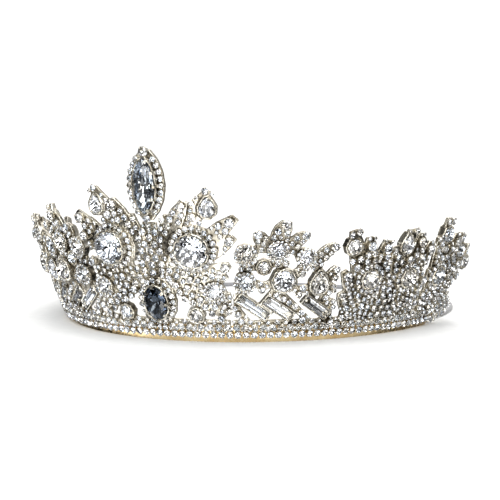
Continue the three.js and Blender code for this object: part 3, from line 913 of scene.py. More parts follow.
def seats_tree():
    """Sets a piece on every seat, each turned and tilted within limits."""
    tree, given, result, add = node_tree("pieces_on_seats", SEAT_INPUTS)
    outward = add("GeometryNodeInputNamedAttribute", {"Name": "outward"}, data_type="FLOAT_VECTOR")
    across = add("GeometryNodeInputNamedAttribute", {"Name": "across"}, data_type="FLOAT_VECTOR")
    size = add("GeometryNodeInputNamedAttribute", {"Name": "size"}, data_type="FLOAT")
    facing = add(
        "FunctionNodeAxesToRotation", {"Primary Axis": outward, "Secondary Axis": across},
        primary_axis="Z", secondary_axis="X",
    )
    piece = add("GeometryNodeObjectInfo", {"Object": given["Piece"]}, "Geometry")
    copies = add("GeometryNodeInstanceOnPoints", {
        "Points": given["Geometry"], "Instance": piece, "Rotation": facing, "Scale": size,
    })
    most = add("ShaderNodeCombineXYZ", {"X": given["Tilt"], "Y": given["Tilt"], "Z": given["Turn"]})
    least = add("ShaderNodeVectorMath", {"Vector": most, "Scale": -1.0}, operation="SCALE")
    lean = add(
        "FunctionNodeRandomValue", {"Min": least, "Max": most, "Seed": given["Seed"]},
        data_type="FLOAT_VECTOR",
    )
    leaning = add("GeometryNodeRotateInstances", {"Instances": copies, "Rotation": lean})
    lot = add(
        "FunctionNodeRandomValue", {"Min": 0.0, "Max": 1.0, "Seed": given["Seed"]}, data_type="FLOAT",
    )
    numbered = add(
        "GeometryNodeStoreNamedAttribute", {"Geometry": leaning, "Name": "lot", "Value": lot},
        data_type="FLOAT", domain="INSTANCE",
    )
    real = add("GeometryNodeRealizeInstances", {"Geometry": numbered})
    fronted = add("GeometryNodeSetMaterial", {"Geometry": real, "Material": given["Finish"]})
    foil = add("GeometryNodeInputNamedAttribute", {"Name": "foil"}, data_type="BOOLEAN")
    backed = add("GeometryNodeSetMaterial", {
        "Geometry": fronted, "Selection": foil, "Material": given["Back finish"],
    })
    tree.links.new(backed, result)
    return tree


def rows_tree(on_seats):
    """Spreads seats evenly along rows, aims them along the row, then uses the first tree."""
    tree, given, result, add = node_tree("pieces_in_rows", [("Pitch", "NodeSocketFloat"), *SEAT_INPUTS])
    curves = add("GeometryNodeMeshToCurve", {"Mesh": given["Geometry"]})
    even = add("GeometryNodeResampleCurve", {"Curve": curves, "Length": given["Pitch"]}, mode="LENGTH")
    tangent = add("GeometryNodeInputTangent")
    aimed = add(
        "GeometryNodeStoreNamedAttribute", {"Geometry": even, "Name": "across", "Value": tangent},
        data_type="FLOAT_VECTOR", domain="POINT",
    )
    group = tree.nodes.new("GeometryNodeGroup")
    group.node_tree = on_seats
    tree.links.new(aimed, group.inputs["Geometry"])
    for label, _ in SEAT_INPUTS:
        tree.links.new(given[label], group.inputs[label])
    tree.links.new(group.outputs["Geometry"], result)
    return tree


on_seats = seats_tree()
in_rows = rows_tree(on_seats)
print("trees:", on_seats.name, len(on_seats.nodes), "nodes,", in_rows.name, len(in_rows.nodes), "nodes")

# %% Growing a piece from a tree
def grown(name, start, tree, **values):
    """Runs a tree on a start mesh and returns what it made as a plain mesh."""
    carrier = linked_object(name, start)
    modifier = carrier.modifiers.new("grow", "NODES")
    modifier.node_group = tree
    for item in tree.interface.items_tree:
        key = item.name.lower().replace(" ", "_")
        if item.in_out == "INPUT" and key in values:
            modifier[item.identifier] = values[key]
    mesh = evaluated_mesh(carrier)
    mesh.name = name
    return mesh


def seat_cloud(name, seats, rows=()):
    """A mesh of seats: (matrix, size in mm). `rows` lists runs of seat numbers."""
    mesh = bpy.data.meshes.new(name)
    edges = [pair for row in rows for pair in zip(row, row[1:])]
    mesh.from_pydata([matrix.translation for matrix, _ in seats], edges, [])
    for label, column in (("across", 0), ("outward", 2)):
        values = [part for matrix, _ in seats for part in matrix.col[column].to_3d()]
        mesh.attributes.new(label, "FLOAT_VECTOR", "POINT").data.foreach_set("vector", values)
    sizes = [size * MM for _, size in seats]
    mesh.attributes.new("size", "FLOAT", "POINT").data.foreach_set("value", sizes)
    return mesh


# %% [markdown]
# ## The small stone, its cup and its claws
#
# These are made once, one unit wide, and the trees scale them. A small stone is
# cut simply, with eight crown facets and eight back facets. Its cup is a turned
# ring with a floor, and four claws bend over the crown's edge.

# %% Small stone and cup
SMALL_SIDES = 8          # the sizes of this cell are shares of the stone's width
SMALL_BACK = -0.33       # the point of the back
SMALL_LEVELS = [(0.5, 0), (0.5, 0.05), (0.33, 0.19)]  # radius and height of girdle and table
SMALL_CUP_SIDES = 10
SMALL_CUP = [  # radius and height, from the middle of the underside over the lip to the floor
    (0, -0.44), (0.34, -0.44), (0.53, -0.2), (0.55, 0.0), (0.54, 0.02), (0.52, 0.02),
    (0.51, -0.06), (0, -0.40),
]
SMALL_CLAW = [(0.56, -0.14), (0.55, 0.09), (0.43, 0.15)]  # out from the middle and height
SMALL_CLAW_HALF_WIDTH = 0.06
SMALL_CLAW_HALF_THICKNESS = 0.04


def template(name, mesh):
    """An object that only the trees use. It is never linked to the scene."""
    return bpy.data.objects.new(name, mesh)


def single_cut():
    """A small stone: a pointed back under foil, a thin girdle, a crown and a table."""
    points = [Vector((0, 0, SMALL_BACK))]
    for radius, height in SMALL_LEVELS:
        points += circle(radius, SMALL_SIDES, height)
    faces = ring_faces(len(SMALL_LEVELS), SMALL_SIDES, 1)
    faces.append(tuple(range(len(points) - SMALL_SIDES, len(points))))
    backs = fan_faces(0, 1, SMALL_SIDES)
    return closed_mesh("small_stone", points, faces + backs, [False] * len(faces) + [True] * len(backs))


def bent_strip(stations, half_width, half_thickness):
    """A closed strip in the plane of X: stations are (out from the middle, height)."""
    rings = []
    for i, (reach, height) in enumerate(stations):
        after = Vector(stations[min(i + 1, len(stations) - 1)])
        before = Vector(stations[max(i - 1, 0)])
        run = (after - before).normalized()
        side = Vector((-run.y, run.x)) * half_thickness
        rings.append([
            Vector((reach + a * side.x, b * half_width, height + a * side.y))
            for a, b in ((1, 1), (1, -1), (-1, -1), (-1, 1))
        ])
    return rings


def turned_strip(name, rings, turn):
    """A strip's mesh, turned by a matrix."""
    return tube_mesh(name, [[turn @ point for point in ring] for ring in rings])


def small_cup():
    """A turned cup with its four claws, as one mesh."""
    ring = turned_mesh("small_cup", SMALL_CUP, SMALL_CUP_SIDES)
    strip = bent_strip(SMALL_CLAW, SMALL_CLAW_HALF_WIDTH, SMALL_CLAW_HALF_THICKNESS)
    claws = [
        turned_strip("claw", strip, Matrix.Rotation(math.pi * (quarter / 2 + 0.25), 3, "Z"))
        for quarter in range(4)
    ]
    return soften(joined_mesh("small_cup", [ring, *claws]), 40)


small_stone = template("small_stone", single_cut())
cup_template = template("small_cup", small_cup())
print("small stone:", len(small_stone.data.polygons), "faces, cup:", len(cup_template.data.polygons))

# %% [markdown]
# ## Planning the small stones
#
# A setter fills a casting from large to small: first the row down the middle of
# each leaf, then whatever room is left. The plan does the same in the flat drawing
# of the wall. `room` says how wide a circle is still free, and a ray against the
# casting says how far out the metal lies there, so that no stone is set on nothing.

# %% Leaves
LEAF_PROFILE = [0.45, 0.74, 0.94, 1, 0.9, 0.46]  # width from root to tip, as shares

LEAVES = {  # root, tip, width and bow to one side, in mm along and up the wall
    "centre_panel": [
        ((2.6, 24), (5.8, 48.6), 4.6, 0.02), ((4, 31), (11.6, 54), 5.6, 0.08),
        ((6, 31), (18.6, 57.4), 6.4, 0.05), ((8, 29), (26, 48.4), 6, 0.02),
        ((9, 27), (25.6, 41.2), 5.4, -0.02), ((8, 24), (24.2, 31), 5.2, -0.06),
        ((12, 21.6), (23.4, 26.8), 4.2, -0.04), ((20.6, 11.6), (23.3, 20.6), 3.8, -0.08),
    ],
    "lattice": [
        ((37.4, 34), (40.8, 47), 6, 0.04), ((35, 35), (31.8, 43), 4.8, -0.1),
        ((42, 35), (47, 42.4), 4.8, 0.1), ((50, 29), (56.8, 38), 4.8, 0.1),
        ((53, 21), (58, 29.6), 3.8, -0.06), ((53.8, 15.4), (57.8, 23), 3.4, -0.04),
        ((56.4, 9.4), (58.3, 17), 3.2, 0.04),
    ],
    "spray": [
        ((65, 8.6), (60.6, 19.2), 4.4, -0.06), ((68, 8.6), (60.6, 27.6), 5.2, -0.1),
        ((70, 9), (62, 42.8), 6.6, -0.06), ((71, 9), (68.6, 39.8), 6.2, -0.03),
        ((72, 9), (75.2, 38.6), 6.2, 0.03), ((86, 9), (79.6, 35.4), 5.6, -0.05),
        ((87.5, 9), (85, 42), 6.6, -0.03), ((89, 9), (91, 39.8), 6.2, 0.03),
        ((90, 9), (96, 36.4), 5.4, 0.06), ((91.5, 9), (96.8, 23), 4.6, 0.06),
    ],
    "end_spray": [
        ((104, 8.6), (99.8, 25.4), 4.6, -0.1), ((105, 9), (100.6, 38), 5.6, -0.05),
        ((106, 9), (106, 44.4), 6.6, 0), ((107.5, 9), (112.4, 38), 6, 0.03),
        ((109, 9), (118.6, 37.4), 6.4, 0.05), ((110, 9), (123.6, 32.6), 6, 0.07),
        ((111, 9), (122.6, 21.4), 4.6, 0.08),
    ],
    "finial_setting": [],
}
PANEL_SPANS = {  # along and up, the corners of the drawing that each casting fills
    "centre_panel": ((0, 6.9), (28, 60)),
    "lattice": ((24, 6.9), (60, 49)),
    "spray": ((57, 6.9), (99, 46)),
    "end_spray": ((95, 0), (133, 47)),
    "finial_setting": ((0, 44), (10, 74)),
}


def leaf_point(leaf, t):
    """A leaf's place, sideways direction and width at a share of its length, and its length."""
    root, tip, width, bow = leaf
    start, end = Vector(root), Vector(tip)
    run = end - start
    middle = (start + end) / 2 + Vector((-run.y, run.x)) * bow
    place = start * (1 - t) ** 2 + middle * 2 * t * (1 - t) + end * t * t
    tangent = ((middle - start) * (1 - t) + (end - middle) * t).normalized()
    step = t * (len(LEAF_PROFILE) - 1)
    i = min(int(step), len(LEAF_PROFILE) - 2)
    share = LEAF_PROFILE[i] + (LEAF_PROFILE[i + 1] - LEAF_PROFILE[i]) * (step - i)
    return place, Vector((-tangent.y, tangent.x)), width * share, run.length


print("leaves:", sum(len(leaves) for leaves in LEAVES.values()))

# %% Room and metal
CUP_REACH = 0.56         # the cup's radius over the stone's width
CUP_LIFT = 0.12          # how far a small stone's cup stands off the metal, in mm
MOST_ROOM = 6.0          # mm, on the middle line, where no mirror image is in the way
RIM_FREE = 0.9           # mm kept free over the wall's lower edge
OUTLINE_SIDES = 20       # of the outlines that the room is measured to
PROBE_START = 9          # mm out of the wall, where a ray towards the metal starts
PROBE_REACH = 10.5
SIDE_CHECKS = [(0.3, 0), (-0.3, 0), (0, 0.3), (0, -0.3)]  # places under a stone, in its sizes
MOST_SLOPE = 1.2         # mm that the metal may rise or fall under a stone
SQUARE = 6               # mm, the squares that the placed stones are sorted into
placed = {}              # small stones by square: (along, up, size)


def edge_distance(stone, along, up):
    """Distance from a place to a large stone's outline, negative inside it."""
    local = Vector((along - stone["along"], up - stone["up"], 0))
    local.rotate(Matrix.Rotation(math.radians(-stone["turn"]), 3, "Z"))
    ring = outline(stone, OUTLINE_SIDES)
    best = math.inf
    inside = True
    for a, b in zip(ring, ring[1:] + ring[:1]):
        run = b - a
        share = max(0.0, min(1.0, (local - a).dot(run) / run.dot(run)))
        best = min(best, (local - a - run * share).length)
        inside = inside and run.cross(local - a).z > 0
    return -best if inside else best


ALL_LARGE = [row for rows in LARGE_STONES.values() for row in rows]
NEAR_LARGE = 8           # mm past a large stone's half length, where it may be in the way


def on_middle(along):
    return abs(along) < 0.01


def square_of(along, up):
    return int(along // SQUARE), int(up // SQUARE)


def room(along, up):
    """Radius of the free circle at a place on the right half, clear of the surface below.
    Off the middle line, a stone stays clear of its own mirror image."""
    best = min(MOST_ROOM if on_middle(along) else along, up - RIM_FREE)
    for stone in ALL_LARGE:
        reach = stone["length"] / 2 + NEAR_LARGE
        if abs(along - stone["along"]) < reach and abs(up - stone["up"]) < reach:
            best = min(best, edge_distance(stone, along, up) - CUP_WALL - stone["halo"])
    column, line = square_of(along, up)
    for i in (column - 1, column, column + 1):
        for j in (line - 1, line, line + 1):
            for other_along, other_up, size in placed.get((i, j), ()):
                gap = math.hypot(along - other_along, up - other_up) - size * CUP_REACH
                best = min(best, gap)
    return best


def metal_under(tree, along, up):
    """How far out of the wall a casting's front lies here, in mm, or None."""
    place = seat(along, up)
    outward = place.col[2].to_3d()
    start = place.translation + outward * PROBE_START * MM
    hit, _, _, _ = tree.ray_cast(start, -outward, PROBE_REACH * MM)
    return None if hit is None else (hit - place.translation).dot(outward) / MM


def place_stone(plan, tree, along, up, wanted, least, whole=False):
    """Adds a stone to the plan if there is metal and room. Returns its size or 0.
    `whole` asks for metal on all four sides too."""
    size = min(wanted, room(along, up) / CUP_REACH)
    if size < least:
        return 0
    outs = [metal_under(tree, along, up)]
    outs += [metal_under(tree, along + a * size, up + b * size) for a, b in SIDE_CHECKS]
    known = [out for out in outs if out is not None]
    if outs[0] is None or whole and (len(known) < 4 or max(known) - min(known) > MOST_SLOPE):
        return 0
    placed.setdefault(square_of(along, up), []).append((along, up, size))
    plan.append((along, up, size, max(known)))
    return size


# %% [markdown]
# ## Setting the plan
#
# Each leaf is walked from its tip, where one stone closes it, down to its root.
# The passes after that sweep the whole panel with ever smaller stones. The left
# half mirrors the right one.

# %% Plan per panel
TIP_PLACE = 0.90         # share of a leaf's length where the walk starts
LEAF_END = 0.03          # and where it ends
MOST_STONE = 3.6         # mm
LEAST_STONE = 1.3
TIP_SHARE = 0.62         # the tip stone's width over the leaf's greatest width
SINGLE_SHARE = 0.72      # a lone stone's width over the leaf's width there
PAIR_SHARE = 0.43        # and that of two stones side by side
PAIR_FROM = 4.3          # mm, leaves at least this wide get pairs
PAIR_OFFSET = 0.57       # from the leaf's middle line, in stone widths
LEAST_SHARE = 0.7        # a leaf's stone may shrink to this share of what is wanted
SPACING = 1.13           # distance between neighbours, in stone widths
NO_ROOM_STEP = 0.3       # mm to the next try, where no stone fits
FILL_SIZES = [2.4, 1.9, 1.5, 1.2]  # mm, one pass each
FILL_LEAST_SHARE = 0.92  # and a filling stone to this share
FILL_STEP = 0.5          # mm between the places that are tried


def walk_leaf(plan, tree, leaf):
    """One stone near the tip, then pairs where the leaf is wide and single ones below."""
    t = TIP_PLACE
    first = True
    while t > LEAF_END:
        place, side, width, length = leaf_point(leaf, t)
        offsets = [0]
        if first:
            wanted = min(MOST_STONE, leaf[2] * TIP_SHARE)
        elif width < PAIR_FROM:
            wanted = min(MOST_STONE, SINGLE_SHARE * width)
        else:
            wanted = PAIR_SHARE * width
            offsets = [-wanted * PAIR_OFFSET, wanted * PAIR_OFFSET]
        least = max(LEAST_STONE, wanted * LEAST_SHARE)
        sizes = [place_stone(plan, tree, *(place + side * offset), wanted, least) for offset in offsets]
        first = first and not sizes[0]
        size = max(sizes)
        below = min(size, PAIR_SHARE * width)
        t -= SPACING * (size + below) / 2 / length if size else NO_ROOM_STEP / length


def sweep(plan, tree, span):
    """Tries a grid of places, row by row, with each size in turn."""
    (left, low), (right, high) = span
    for wanted in FILL_SIZES:
        least = wanted * FILL_LEAST_SHARE
        for i in range(int((high - low) / FILL_STEP)):
            for k in range(int((right - left) / FILL_STEP)):
                along, up = left + k * FILL_STEP, low + i * FILL_STEP
                place_stone(plan, tree, along, up, wanted, least, whole=True)


def panel_tree(node):
    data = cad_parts[node].data
    return BVHTree.FromPolygons([v.co for v in data.vertices], [p.vertices for p in data.polygons])


plans = {}
for panel, leaves in LEAVES.items():
    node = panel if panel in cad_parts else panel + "_right"
    tree = panel_tree(node)
    plans[panel] = []
    for leaf in sorted(leaves, key=lambda leaf: -leaf[2]):
        walk_leaf(plans[panel], tree, leaf)
    rows = len(plans[panel])
    sweep(plans[panel], tree, PANEL_SPANS[panel])
    print(panel, rows, "stones in rows,", len(plans[panel]) - rows, "between them")

# %% [markdown]
# ## Halos
#
# A halo is a ring of small stones round a large one, on a flat rim of the
# casting. On a flower the ring is tinier and sits on the cup's own lip. A navette's
# two points are too sharp for a ring, so two arcs run along its sides and one
# larger stone closes each point. Where a leaf crosses a rim, the seats are lifted
# onto the leaf, which a ray from above finds.

# %% Halos
RING_POINTS = 96         # seats of a ring before the tree spreads its stones
HALO_FILL = 1.02         # a halo stone's width over the rim's
FLOWER_STONE = 1.25      # mm, the tiny stones on the lip of a flower's cup
LIP_MIDDLE = 0.7         # from the stone to the middle of its cup's lip
LIP_HEIGHT = 0.15        # how far the lip rises past the girdle's lower edge
LIFT_MOST = 3.0          # how far over a halo's rim a leaf may pass
NAVETTE_ARC = 15         # seats either side of the waist that carry the halo
TIP_STONES = [(11.9, 3.4), (-11.7, 2.8)]  # height above the navette's middle and width, in mm


def stone_lift(size):
    """From the metal up to a small stone's girdle, in mm."""
    return BACK_SHARE * size + CUP_LIFT


def halo_seat(stone, size):
    """The matrix of the flat rim, at the height where its small stones sit."""
    return seat(stone["along"], stone["up"], stone["turn"], HALO_FRONT + stone_lift(size))


def flower_row(stone):
    """A closed row of tiny stones on the cup's lip."""
    lift = girdle_height(stone) + LIP_HEIGHT + BACK_SHARE * FLOWER_STONE
    matrix = seat(stone["along"], stone["up"], stone["turn"], lift)
    ring = outline(stone, RING_POINTS, LIP_MIDDLE)
    return [(matrix @ Matrix.Translation(point * MM), FLOWER_STONE) for point in ring + ring[:1]]


def halo_rows(stone, tree):
    """Rows of seats round a large stone, lifted onto the leaves that cross its rim."""
    size = stone["halo"] * HALO_FILL
    matrix = halo_seat(stone, size)
    outward = matrix.col[2].to_3d()
    below = outward * stone_lift(size) * MM

    def lifted(point):
        rim = matrix @ (point * MM) - below
        hit, _, _, _ = tree.ray_cast(rim + outward * LIFT_MOST * MM, -outward, LIFT_MOST * MM)
        lift = Vector((0, 0, 0)) if hit is None else hit - rim
        return Matrix.Translation(lift) @ matrix @ Matrix.Translation(point * MM)

    ring = outline(stone, RING_POINTS, CUP_WALL + stone["halo"] / 2)
    arcs = [ring + ring[:1]]
    if stone["cut"] == "navette":
        half = RING_POINTS // 2
        right_arc = ring[-NAVETTE_ARC:] + ring[:NAVETTE_ARC + 1]
        arcs = [right_arc, ring[half - NAVETTE_ARC:half + NAVETTE_ARC + 1]]
    return [[(lifted(point), size) for point in arc] for arc in arcs]


print("rims with halos:", [stone["name"] for stone in ALL_LARGE if stone["halo"]])

# %% [markdown]
# ## Setting the small stones
#
# Every casting gets two pieces: all its small stones as one mesh, and all their
# cups as another. Both grow from the same seats with the same seed, so each stone
# leans and turns with its own cup.

# %% Small stones and cups of every casting
SETTING = {"tilt": math.radians(8), "turn": math.radians(180), "seed": 7}
FLOWER_PITCH = 1.14      # distance between neighbours, in stone widths
HALO_PITCH = 1.2         # the same for a halo, in widths of its rim


def planned_seats(plan, side):
    """Seats of a plan on one half: 1 is right, -1 is left."""
    return [
        (seat(side * along, up, 0, out + stone_lift(size)), size)
        for along, up, size, out in plan if side == 1 or not on_middle(along)
    ]


def row_cloud(name, seats):
    """A cloud whose seats follow each other in one row."""
    return seat_cloud(name, seats, [range(len(seats))])


def set_stones(name, clouds):
    """Grows the stones and the cups of one casting from its clouds of seats."""
    stones, cups = [], []
    for cloud, tree, extra in clouds:
        for made, piece, finish, back in (
            (stones, small_stone, crystal, silver_foil), (cups, cup_template, pale_gold, pale_gold),
        ):
            made.append(grown(name, cloud.copy(), tree, piece=piece, finish=finish, back_finish=back,
                              **SETTING, **extra))
    gems = add_piece(name + "_small_stones", joined_mesh(name + "_stones", stones), "crystal")
    rims = add_piece(name + "_small_cups", joined_mesh(name + "_cups", cups), "casting_metal")
    print(name, len(gems.data.polygons), "stone faces,", len(rims.data.polygons), "cup faces")


def halo_clouds(rows, side, casting):
    """Clouds for the rows round the large stones of one half."""
    tree = panel_tree(casting)
    clouds = []
    for stone in rows:
        if stone["kind"] == "flower":
            seats = flower_row({**stone, "along": side * stone["along"]})
            spacing = {"pitch": FLOWER_STONE * FLOWER_PITCH * MM}
            clouds.append((row_cloud("flower", seats), in_rows, spacing))
        if stone["halo"]:
            spacing = {"pitch": stone["halo"] * HALO_PITCH * MM}
            for seats in halo_rows({**stone, "along": side * stone["along"]}, tree):
                clouds.append((row_cloud("halo", seats), in_rows, spacing))
        if stone["cut"] == "navette":
            tips = [(halo_seat(stone, size) @ Matrix.Translation((0, rise * MM, 0)), size)
                    for rise, size in TIP_STONES]
            clouds.append((seat_cloud("tips", tips), on_seats, {}))
    return clouds


for panel, plan in plans.items():
    rows = LARGE_STONES[panel]
    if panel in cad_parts:
        seats = planned_seats(plan, 1) + planned_seats(plan, -1)
        clouds = halo_clouds(rows, 1, panel)
        clouds += halo_clouds([row for row in rows if row["along"]], -1, panel)
        if seats:
            clouds.append((seat_cloud(panel, seats), on_seats, {}))
        set_stones(panel, clouds)
    else:
        for side, word in ((1, "_right"), (-1, "_left")):
            clouds = [(seat_cloud(panel, planned_seats(plan, side)), on_seats, {})]
            set_stones(panel + word, clouds + halo_clouds(rows, side, panel + word))

# %% [markdown]
# ## Two rows on the band
#
# The band carries two close rows of small stones above its plain lower strip.
# A row is a line of seats along the rim, and the tree spreads the stones evenly
# on it, whatever their pitch.

# %% Band rows
BAND_ROWS = [(3.7, 2.5), (5.95, 1.9)]  # height on the band and stone width, in mm
BAND_ROW_END = 110.5     # mm from the middle to each end of a row
BAND_ROW_STEPS = 80      # seats on each half, before the tree spreads the stones
BAND_ROW_PITCH = 1.15    # distance between neighbours, in stone widths

band_clouds = []
for up, size in BAND_ROWS:
    lift = BAND_THICKNESS / 2 + stone_lift(size)
    places = [k * BAND_ROW_END / BAND_ROW_STEPS for k in range(-BAND_ROW_STEPS, BAND_ROW_STEPS + 1)]
    seats = [(seat(along, up, 0, lift), size) for along in places]
    band_clouds.append((row_cloud("band_row", seats), in_rows, {"pitch": size * BAND_ROW_PITCH * MM}))
set_stones("band", band_clouds)

# %% [markdown]
# ## Claws on the large stones
#
# A large stone is held by claws that rise from its cup and bend over the crown.
# A baguette gets four, most stones get five or six, and the widest get two more.
# The claws are spread on a loop round the stone by the same tree that spaces the
# small stones, so all that changes is the piece and the pitch.

# %% Claws
CLAW = [(0.0, -0.9), (0.0, 0.15), (-0.3, 0.62), (-0.85, 0.98)]  # out from the middle and height, in mm
CLAW_HALF_WIDTH = 0.42
CLAW_HALF_THICKNESS = 0.26
CLAW_FOR_WIDTH = 7       # mm, the stone that a claw of this size suits
CLAW_SCALES = (0.75, 1.25)
CLAW_DROP = 0.35         # how far below the girdle's upper edge its middle lies
CLAW_OUT = 0.6           # and how far out of the outline
CLAW_COUNTS = {"oval": 6, "round": 6, "navette": 8, "pear": 5, "baguette": 4}
WIDE_STONE = 8           # mm, stones wider than this get two more

along_x = Matrix(((0, 1, 0), (-1, 0, 0), (0, 0, 1)))  # the claw's width runs along X, its tip towards Y
claw_rings = bent_strip(CLAW, CLAW_HALF_WIDTH, CLAW_HALF_THICKNESS)
claw = template("claw", soften(turned_strip("claw", claw_rings, along_x), 35))


def claw_seats(stone):
    """Seats on a closed loop round a large stone, and the loop's length in mm."""
    scale = min(CLAW_SCALES[1], max(CLAW_SCALES[0], stone["width"] / CLAW_FOR_WIDTH))
    height = girdle_height(stone) + GIRDLE_SHARE * stone["width"] - CLAW_DROP * scale
    matrix = seat(stone["along"], stone["up"], stone["turn"], height)
    ring = outline(stone, RING_POINTS, CLAW_OUT * scale)
    ring.append(ring[0])
    perimeter = sum((b - a).length for a, b in zip(ring, ring[1:]))
    return [(matrix @ Matrix.Translation(point * MM), scale) for point in ring], perimeter


for panel, rows in LARGE_STONES.items():
    meshes = []
    for stone, _ in both_halves(rows):
        seats, perimeter = claw_seats(stone)
        count = CLAW_COUNTS[stone["cut"]] + (2 if stone["width"] > WIDE_STONE else 0)
        meshes.append(grown(
            "claws", row_cloud("claws", seats), in_rows, piece=claw, pitch=perimeter / (count + 0.5) * MM,
            tilt=0.0, turn=0.0, seed=1, finish=pale_gold, back_finish=pale_gold,
        ))
    add_piece(panel + "_claws", joined_mesh(panel + "_claws", meshes), "casting_metal")
    print(panel, "claws:", sum(len(mesh.polygons) for mesh in meshes), "faces")

# %% [markdown]
# ## The floor
#
# The floor is a sheet of pale paper. It is a bowl that curves up all round, so
# that no view shows a horizon. Mirrored and refracted rays pass through it, so
# the stones see the room beyond and not a white wall.

# %% Floor
BOWL_FLAT = 1.6          # m, radius of the flat floor
BOWL_CURVE = 1.2         # radius of the curve that rises from it
BOWL_RISE = 60           # degrees that the curve turns through
BOWL_STEPS = 12
BOWL_SIDES = 64


def studio_bowl():
    """A shallow bowl: flat under the tiara, then curving up to a wall."""
    points = [Vector((0, 0, 0)), *circle(BOWL_FLAT, BOWL_SIDES, 0)]
    for i in range(1, BOWL_STEPS + 1):
        angle = math.radians(BOWL_RISE * i / BOWL_STEPS)
        radius = BOWL_FLAT + BOWL_CURVE * math.sin(angle)
        points += circle(radius, BOWL_SIDES, BOWL_CURVE * (1 - math.cos(angle)))
    faces = ring_faces(BOWL_STEPS + 1, BOWL_SIDES, 1)
    faces += [(pole, b, a) for pole, a, b in fan_faces(0, 1, BOWL_SIDES)]
    mesh = bpy.data.meshes.new("studio_bowl")
    mesh.from_pydata([tuple(point) for point in points], [], faces)
    mesh.shade_smooth()
    return mesh


def pale_paper():
    """Nearly white paper with a fine grain."""
    paper, add, feed = shader("paper")
    place = add("ShaderNodeTexCoord", gives="Object")
    grain = add("ShaderNodeTexNoise", {"Vector": place, "Scale": 300.0}, "Fac")
    feed("Base Color", ramp(add, grain, [(0.3, (0.90, 0.90, 0.895)), (0.7, (0.94, 0.94, 0.935))]))
    feed("Roughness", 0.9)
    return paper


bowl = linked_object("studio_bowl", studio_bowl())
bowl.data.materials.append(pale_paper())
bowl.visible_glossy = False
bowl.visible_transmission = False
bowl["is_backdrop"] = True
print("bowl:", len(bowl.data.polygons), "faces")

# %% [markdown]
# ## The room that the stones mirror
#
# Jewellery is lit by contrast. A facet sparkles when it mirrors a small bright
# lamp and looks black beside one that does. So the room is full of bulbs, made
# from a Voronoi pattern of the direction looked at, with a soft haze between them.
# It is brightest in front, and plain and pale below and behind, where metal backs
# would otherwise mirror nothing. Only mirrored and refracted rays see this room.
# To the eye and to matt surfaces it is even and white.

# %% Room light
BRIGHT_SIDE = 12         # degrees to the right of the front, where the room is brightest
BACKWARDS = (0, 0.82, 0.57)  # the direction of the pale back wall's middle


def light_room():
    """Makes the world's node tree."""
    scene.world = bpy.data.worlds.new("room")
    scene.world.use_nodes = True
    tree = scene.world.node_tree
    tree.nodes.clear()
    add = node_adder(tree)
    direction = add("ShaderNodeTexCoord", gives="Generated")

    bulbs = add("ShaderNodeTexVoronoi", {"Vector": direction, "Scale": 4.6, "Randomness": 0.85}, "Distance")
    haze = add("ShaderNodeTexNoise", {"Vector": direction, "Scale": 1.7, "Detail": 2.0}, "Fac")
    bulb_light = map_range(add, bulbs, (0.35, 0.31), (0.0, 3.2))
    haze_light = map_range(add, haze, (0.42, 0.62), (0.0, 0.26))
    glow = add("ShaderNodeMath", {0: bulb_light, 1: haze_light}, operation="ADD")
    rotation = (0, 0, -math.radians(BRIGHT_SIDE))
    turned = add("ShaderNodeMapping", {"Vector": direction, "Rotation": rotation}, "Vector")
    depth = add("ShaderNodeSeparateXYZ", {"Vector": turned}, "Y")
    frontness = map_range(add, depth, (0.0, -0.95), (0.13, 2.1))
    sparkle = add("ShaderNodeMath", {0: glow, 1: frontness}, operation="MULTIPLY")

    steepness = add("ShaderNodeSeparateXYZ", {"Vector": direction}, "Z")
    pale_ground = map_range(add, steepness, (-0.7, -0.84), (0.0, 0.7))
    towards_back = add(
        "ShaderNodeVectorMath", {0: direction, 1: BACKWARDS}, "Value", operation="DOT_PRODUCT")
    back_wall = map_range(add, towards_back, (0.2, 0.9), (0.0, 0.6))
    plain_walls = add("ShaderNodeMath", {0: pale_ground, 1: back_wall}, operation="ADD")
    strength = add("ShaderNodeMath", {0: sparkle, 1: plain_walls}, operation="ADD")
    tint = add("ShaderNodeMixRGB", {
        "Fac": haze, "Color1": (1.0, 0.95, 0.86, 1), "Color2": (0.90, 0.95, 1.0, 1)})

    mirrored = add("ShaderNodeBackground", {"Color": tint, "Strength": strength})
    even = add("ShaderNodeBackground", {"Color": (1, 1, 1, 1), "Strength": 1.02})
    camera_ray = add("ShaderNodeLightPath", gives="Is Camera Ray")
    diffuse_ray = add("ShaderNodeLightPath", gives="Is Diffuse Ray")
    plain_ray = add("ShaderNodeMath", {0: camera_ray, 1: diffuse_ray}, operation="MAXIMUM")
    add("ShaderNodeOutputWorld", {
        "Surface": add("ShaderNodeMixShader", {0: plain_ray, 1: mirrored, 2: even})})
    return len(tree.nodes)


print("room:", light_room(), "nodes")

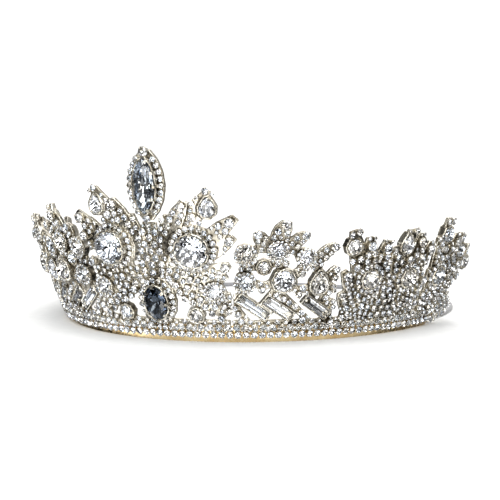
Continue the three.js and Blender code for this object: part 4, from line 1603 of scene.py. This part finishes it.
# %% [markdown]
# ## Soft boxes
#
# Square lamps stand round the tiara: cool ones in front and on the left, a warm one
# to the right, and nearly white ones behind and above. Their sheen models the large
# shapes, which are the wall's curve, the leaves and the gold strip under the rows.
# The camera doesn't see the lamps.

# %% Soft boxes
LIT_POINT = Vector((0, 0, 0.03))
SOFT_BOXES = [  # name, azimuth and elevation in degrees, distance and size in m, power in W, colour
    ("key", 12, 34, 1.1, 0.5, 4.6, (0.93, 0.97, 1.0)),
    ("warm_fill", 48, 10, 1.1, 0.4, 1.4, (1.0, 0.92, 0.78)),
    ("low_front", 0, -32, 1.0, 0.5, 2.4, (0.96, 0.98, 1.0)),
    ("left_strip", -60, 30, 1.1, 0.35, 0.6, (0.92, 0.96, 1.0)),
    ("left_low", -84, -44, 1.0, 0.4, 1.8, (0.96, 0.98, 1.0)),
    ("back_fill", 198, 34, 1.1, 0.8, 3, (1.0, 0.97, 0.92)),
    ("overhead", 30, 80, 1.2, 0.6, 3, (1.0, 0.98, 0.95)),
]
for name, azimuth, elevation, distance, size, power, colour in SOFT_BOXES:
    light = linked_object(name, bpy.data.lights.new(name, "AREA"))
    light.data.size = size
    light.data.energy = power
    light.data.color = colour
    light.visible_camera = False
    aim(light, azimuth, elevation, distance, LIT_POINT)
print("soft boxes:", len(SOFT_BOXES))

# %% [markdown]
# ## How light is followed
#
# A ray enters a stone, bounces between the foil facets and leaves again, so it
# needs many bounces before it is dropped. The plain Standard view keeps white
# white, so the paper and the brightest facets aren't greyed.

# %% Picture settings
scene.view_settings.view_transform = "Standard"
scene.cycles.max_bounces = 14
scene.cycles.transmission_bounces = 12
scene.cycles.glossy_bounces = 10
scene.cycles.caustics_reflective = True
scene.cycles.caustics_refractive = False
print("bounces:", scene.cycles.max_bounces)

# %% [markdown]
# ## Counting triangles
#
# The last step counts each piece's triangles and prints the total and the five largest.

triangles = {}
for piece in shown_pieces():
    if piece.type == "MESH" and not piece.hide_render:
        piece.data.calc_loop_triangles()
        triangles[piece.name] = len(piece.data.loop_triangles)
print("triangles:", sum(triangles.values()))
print("most:", sorted(triangles.items(), key=lambda item: -item[1])[:5])
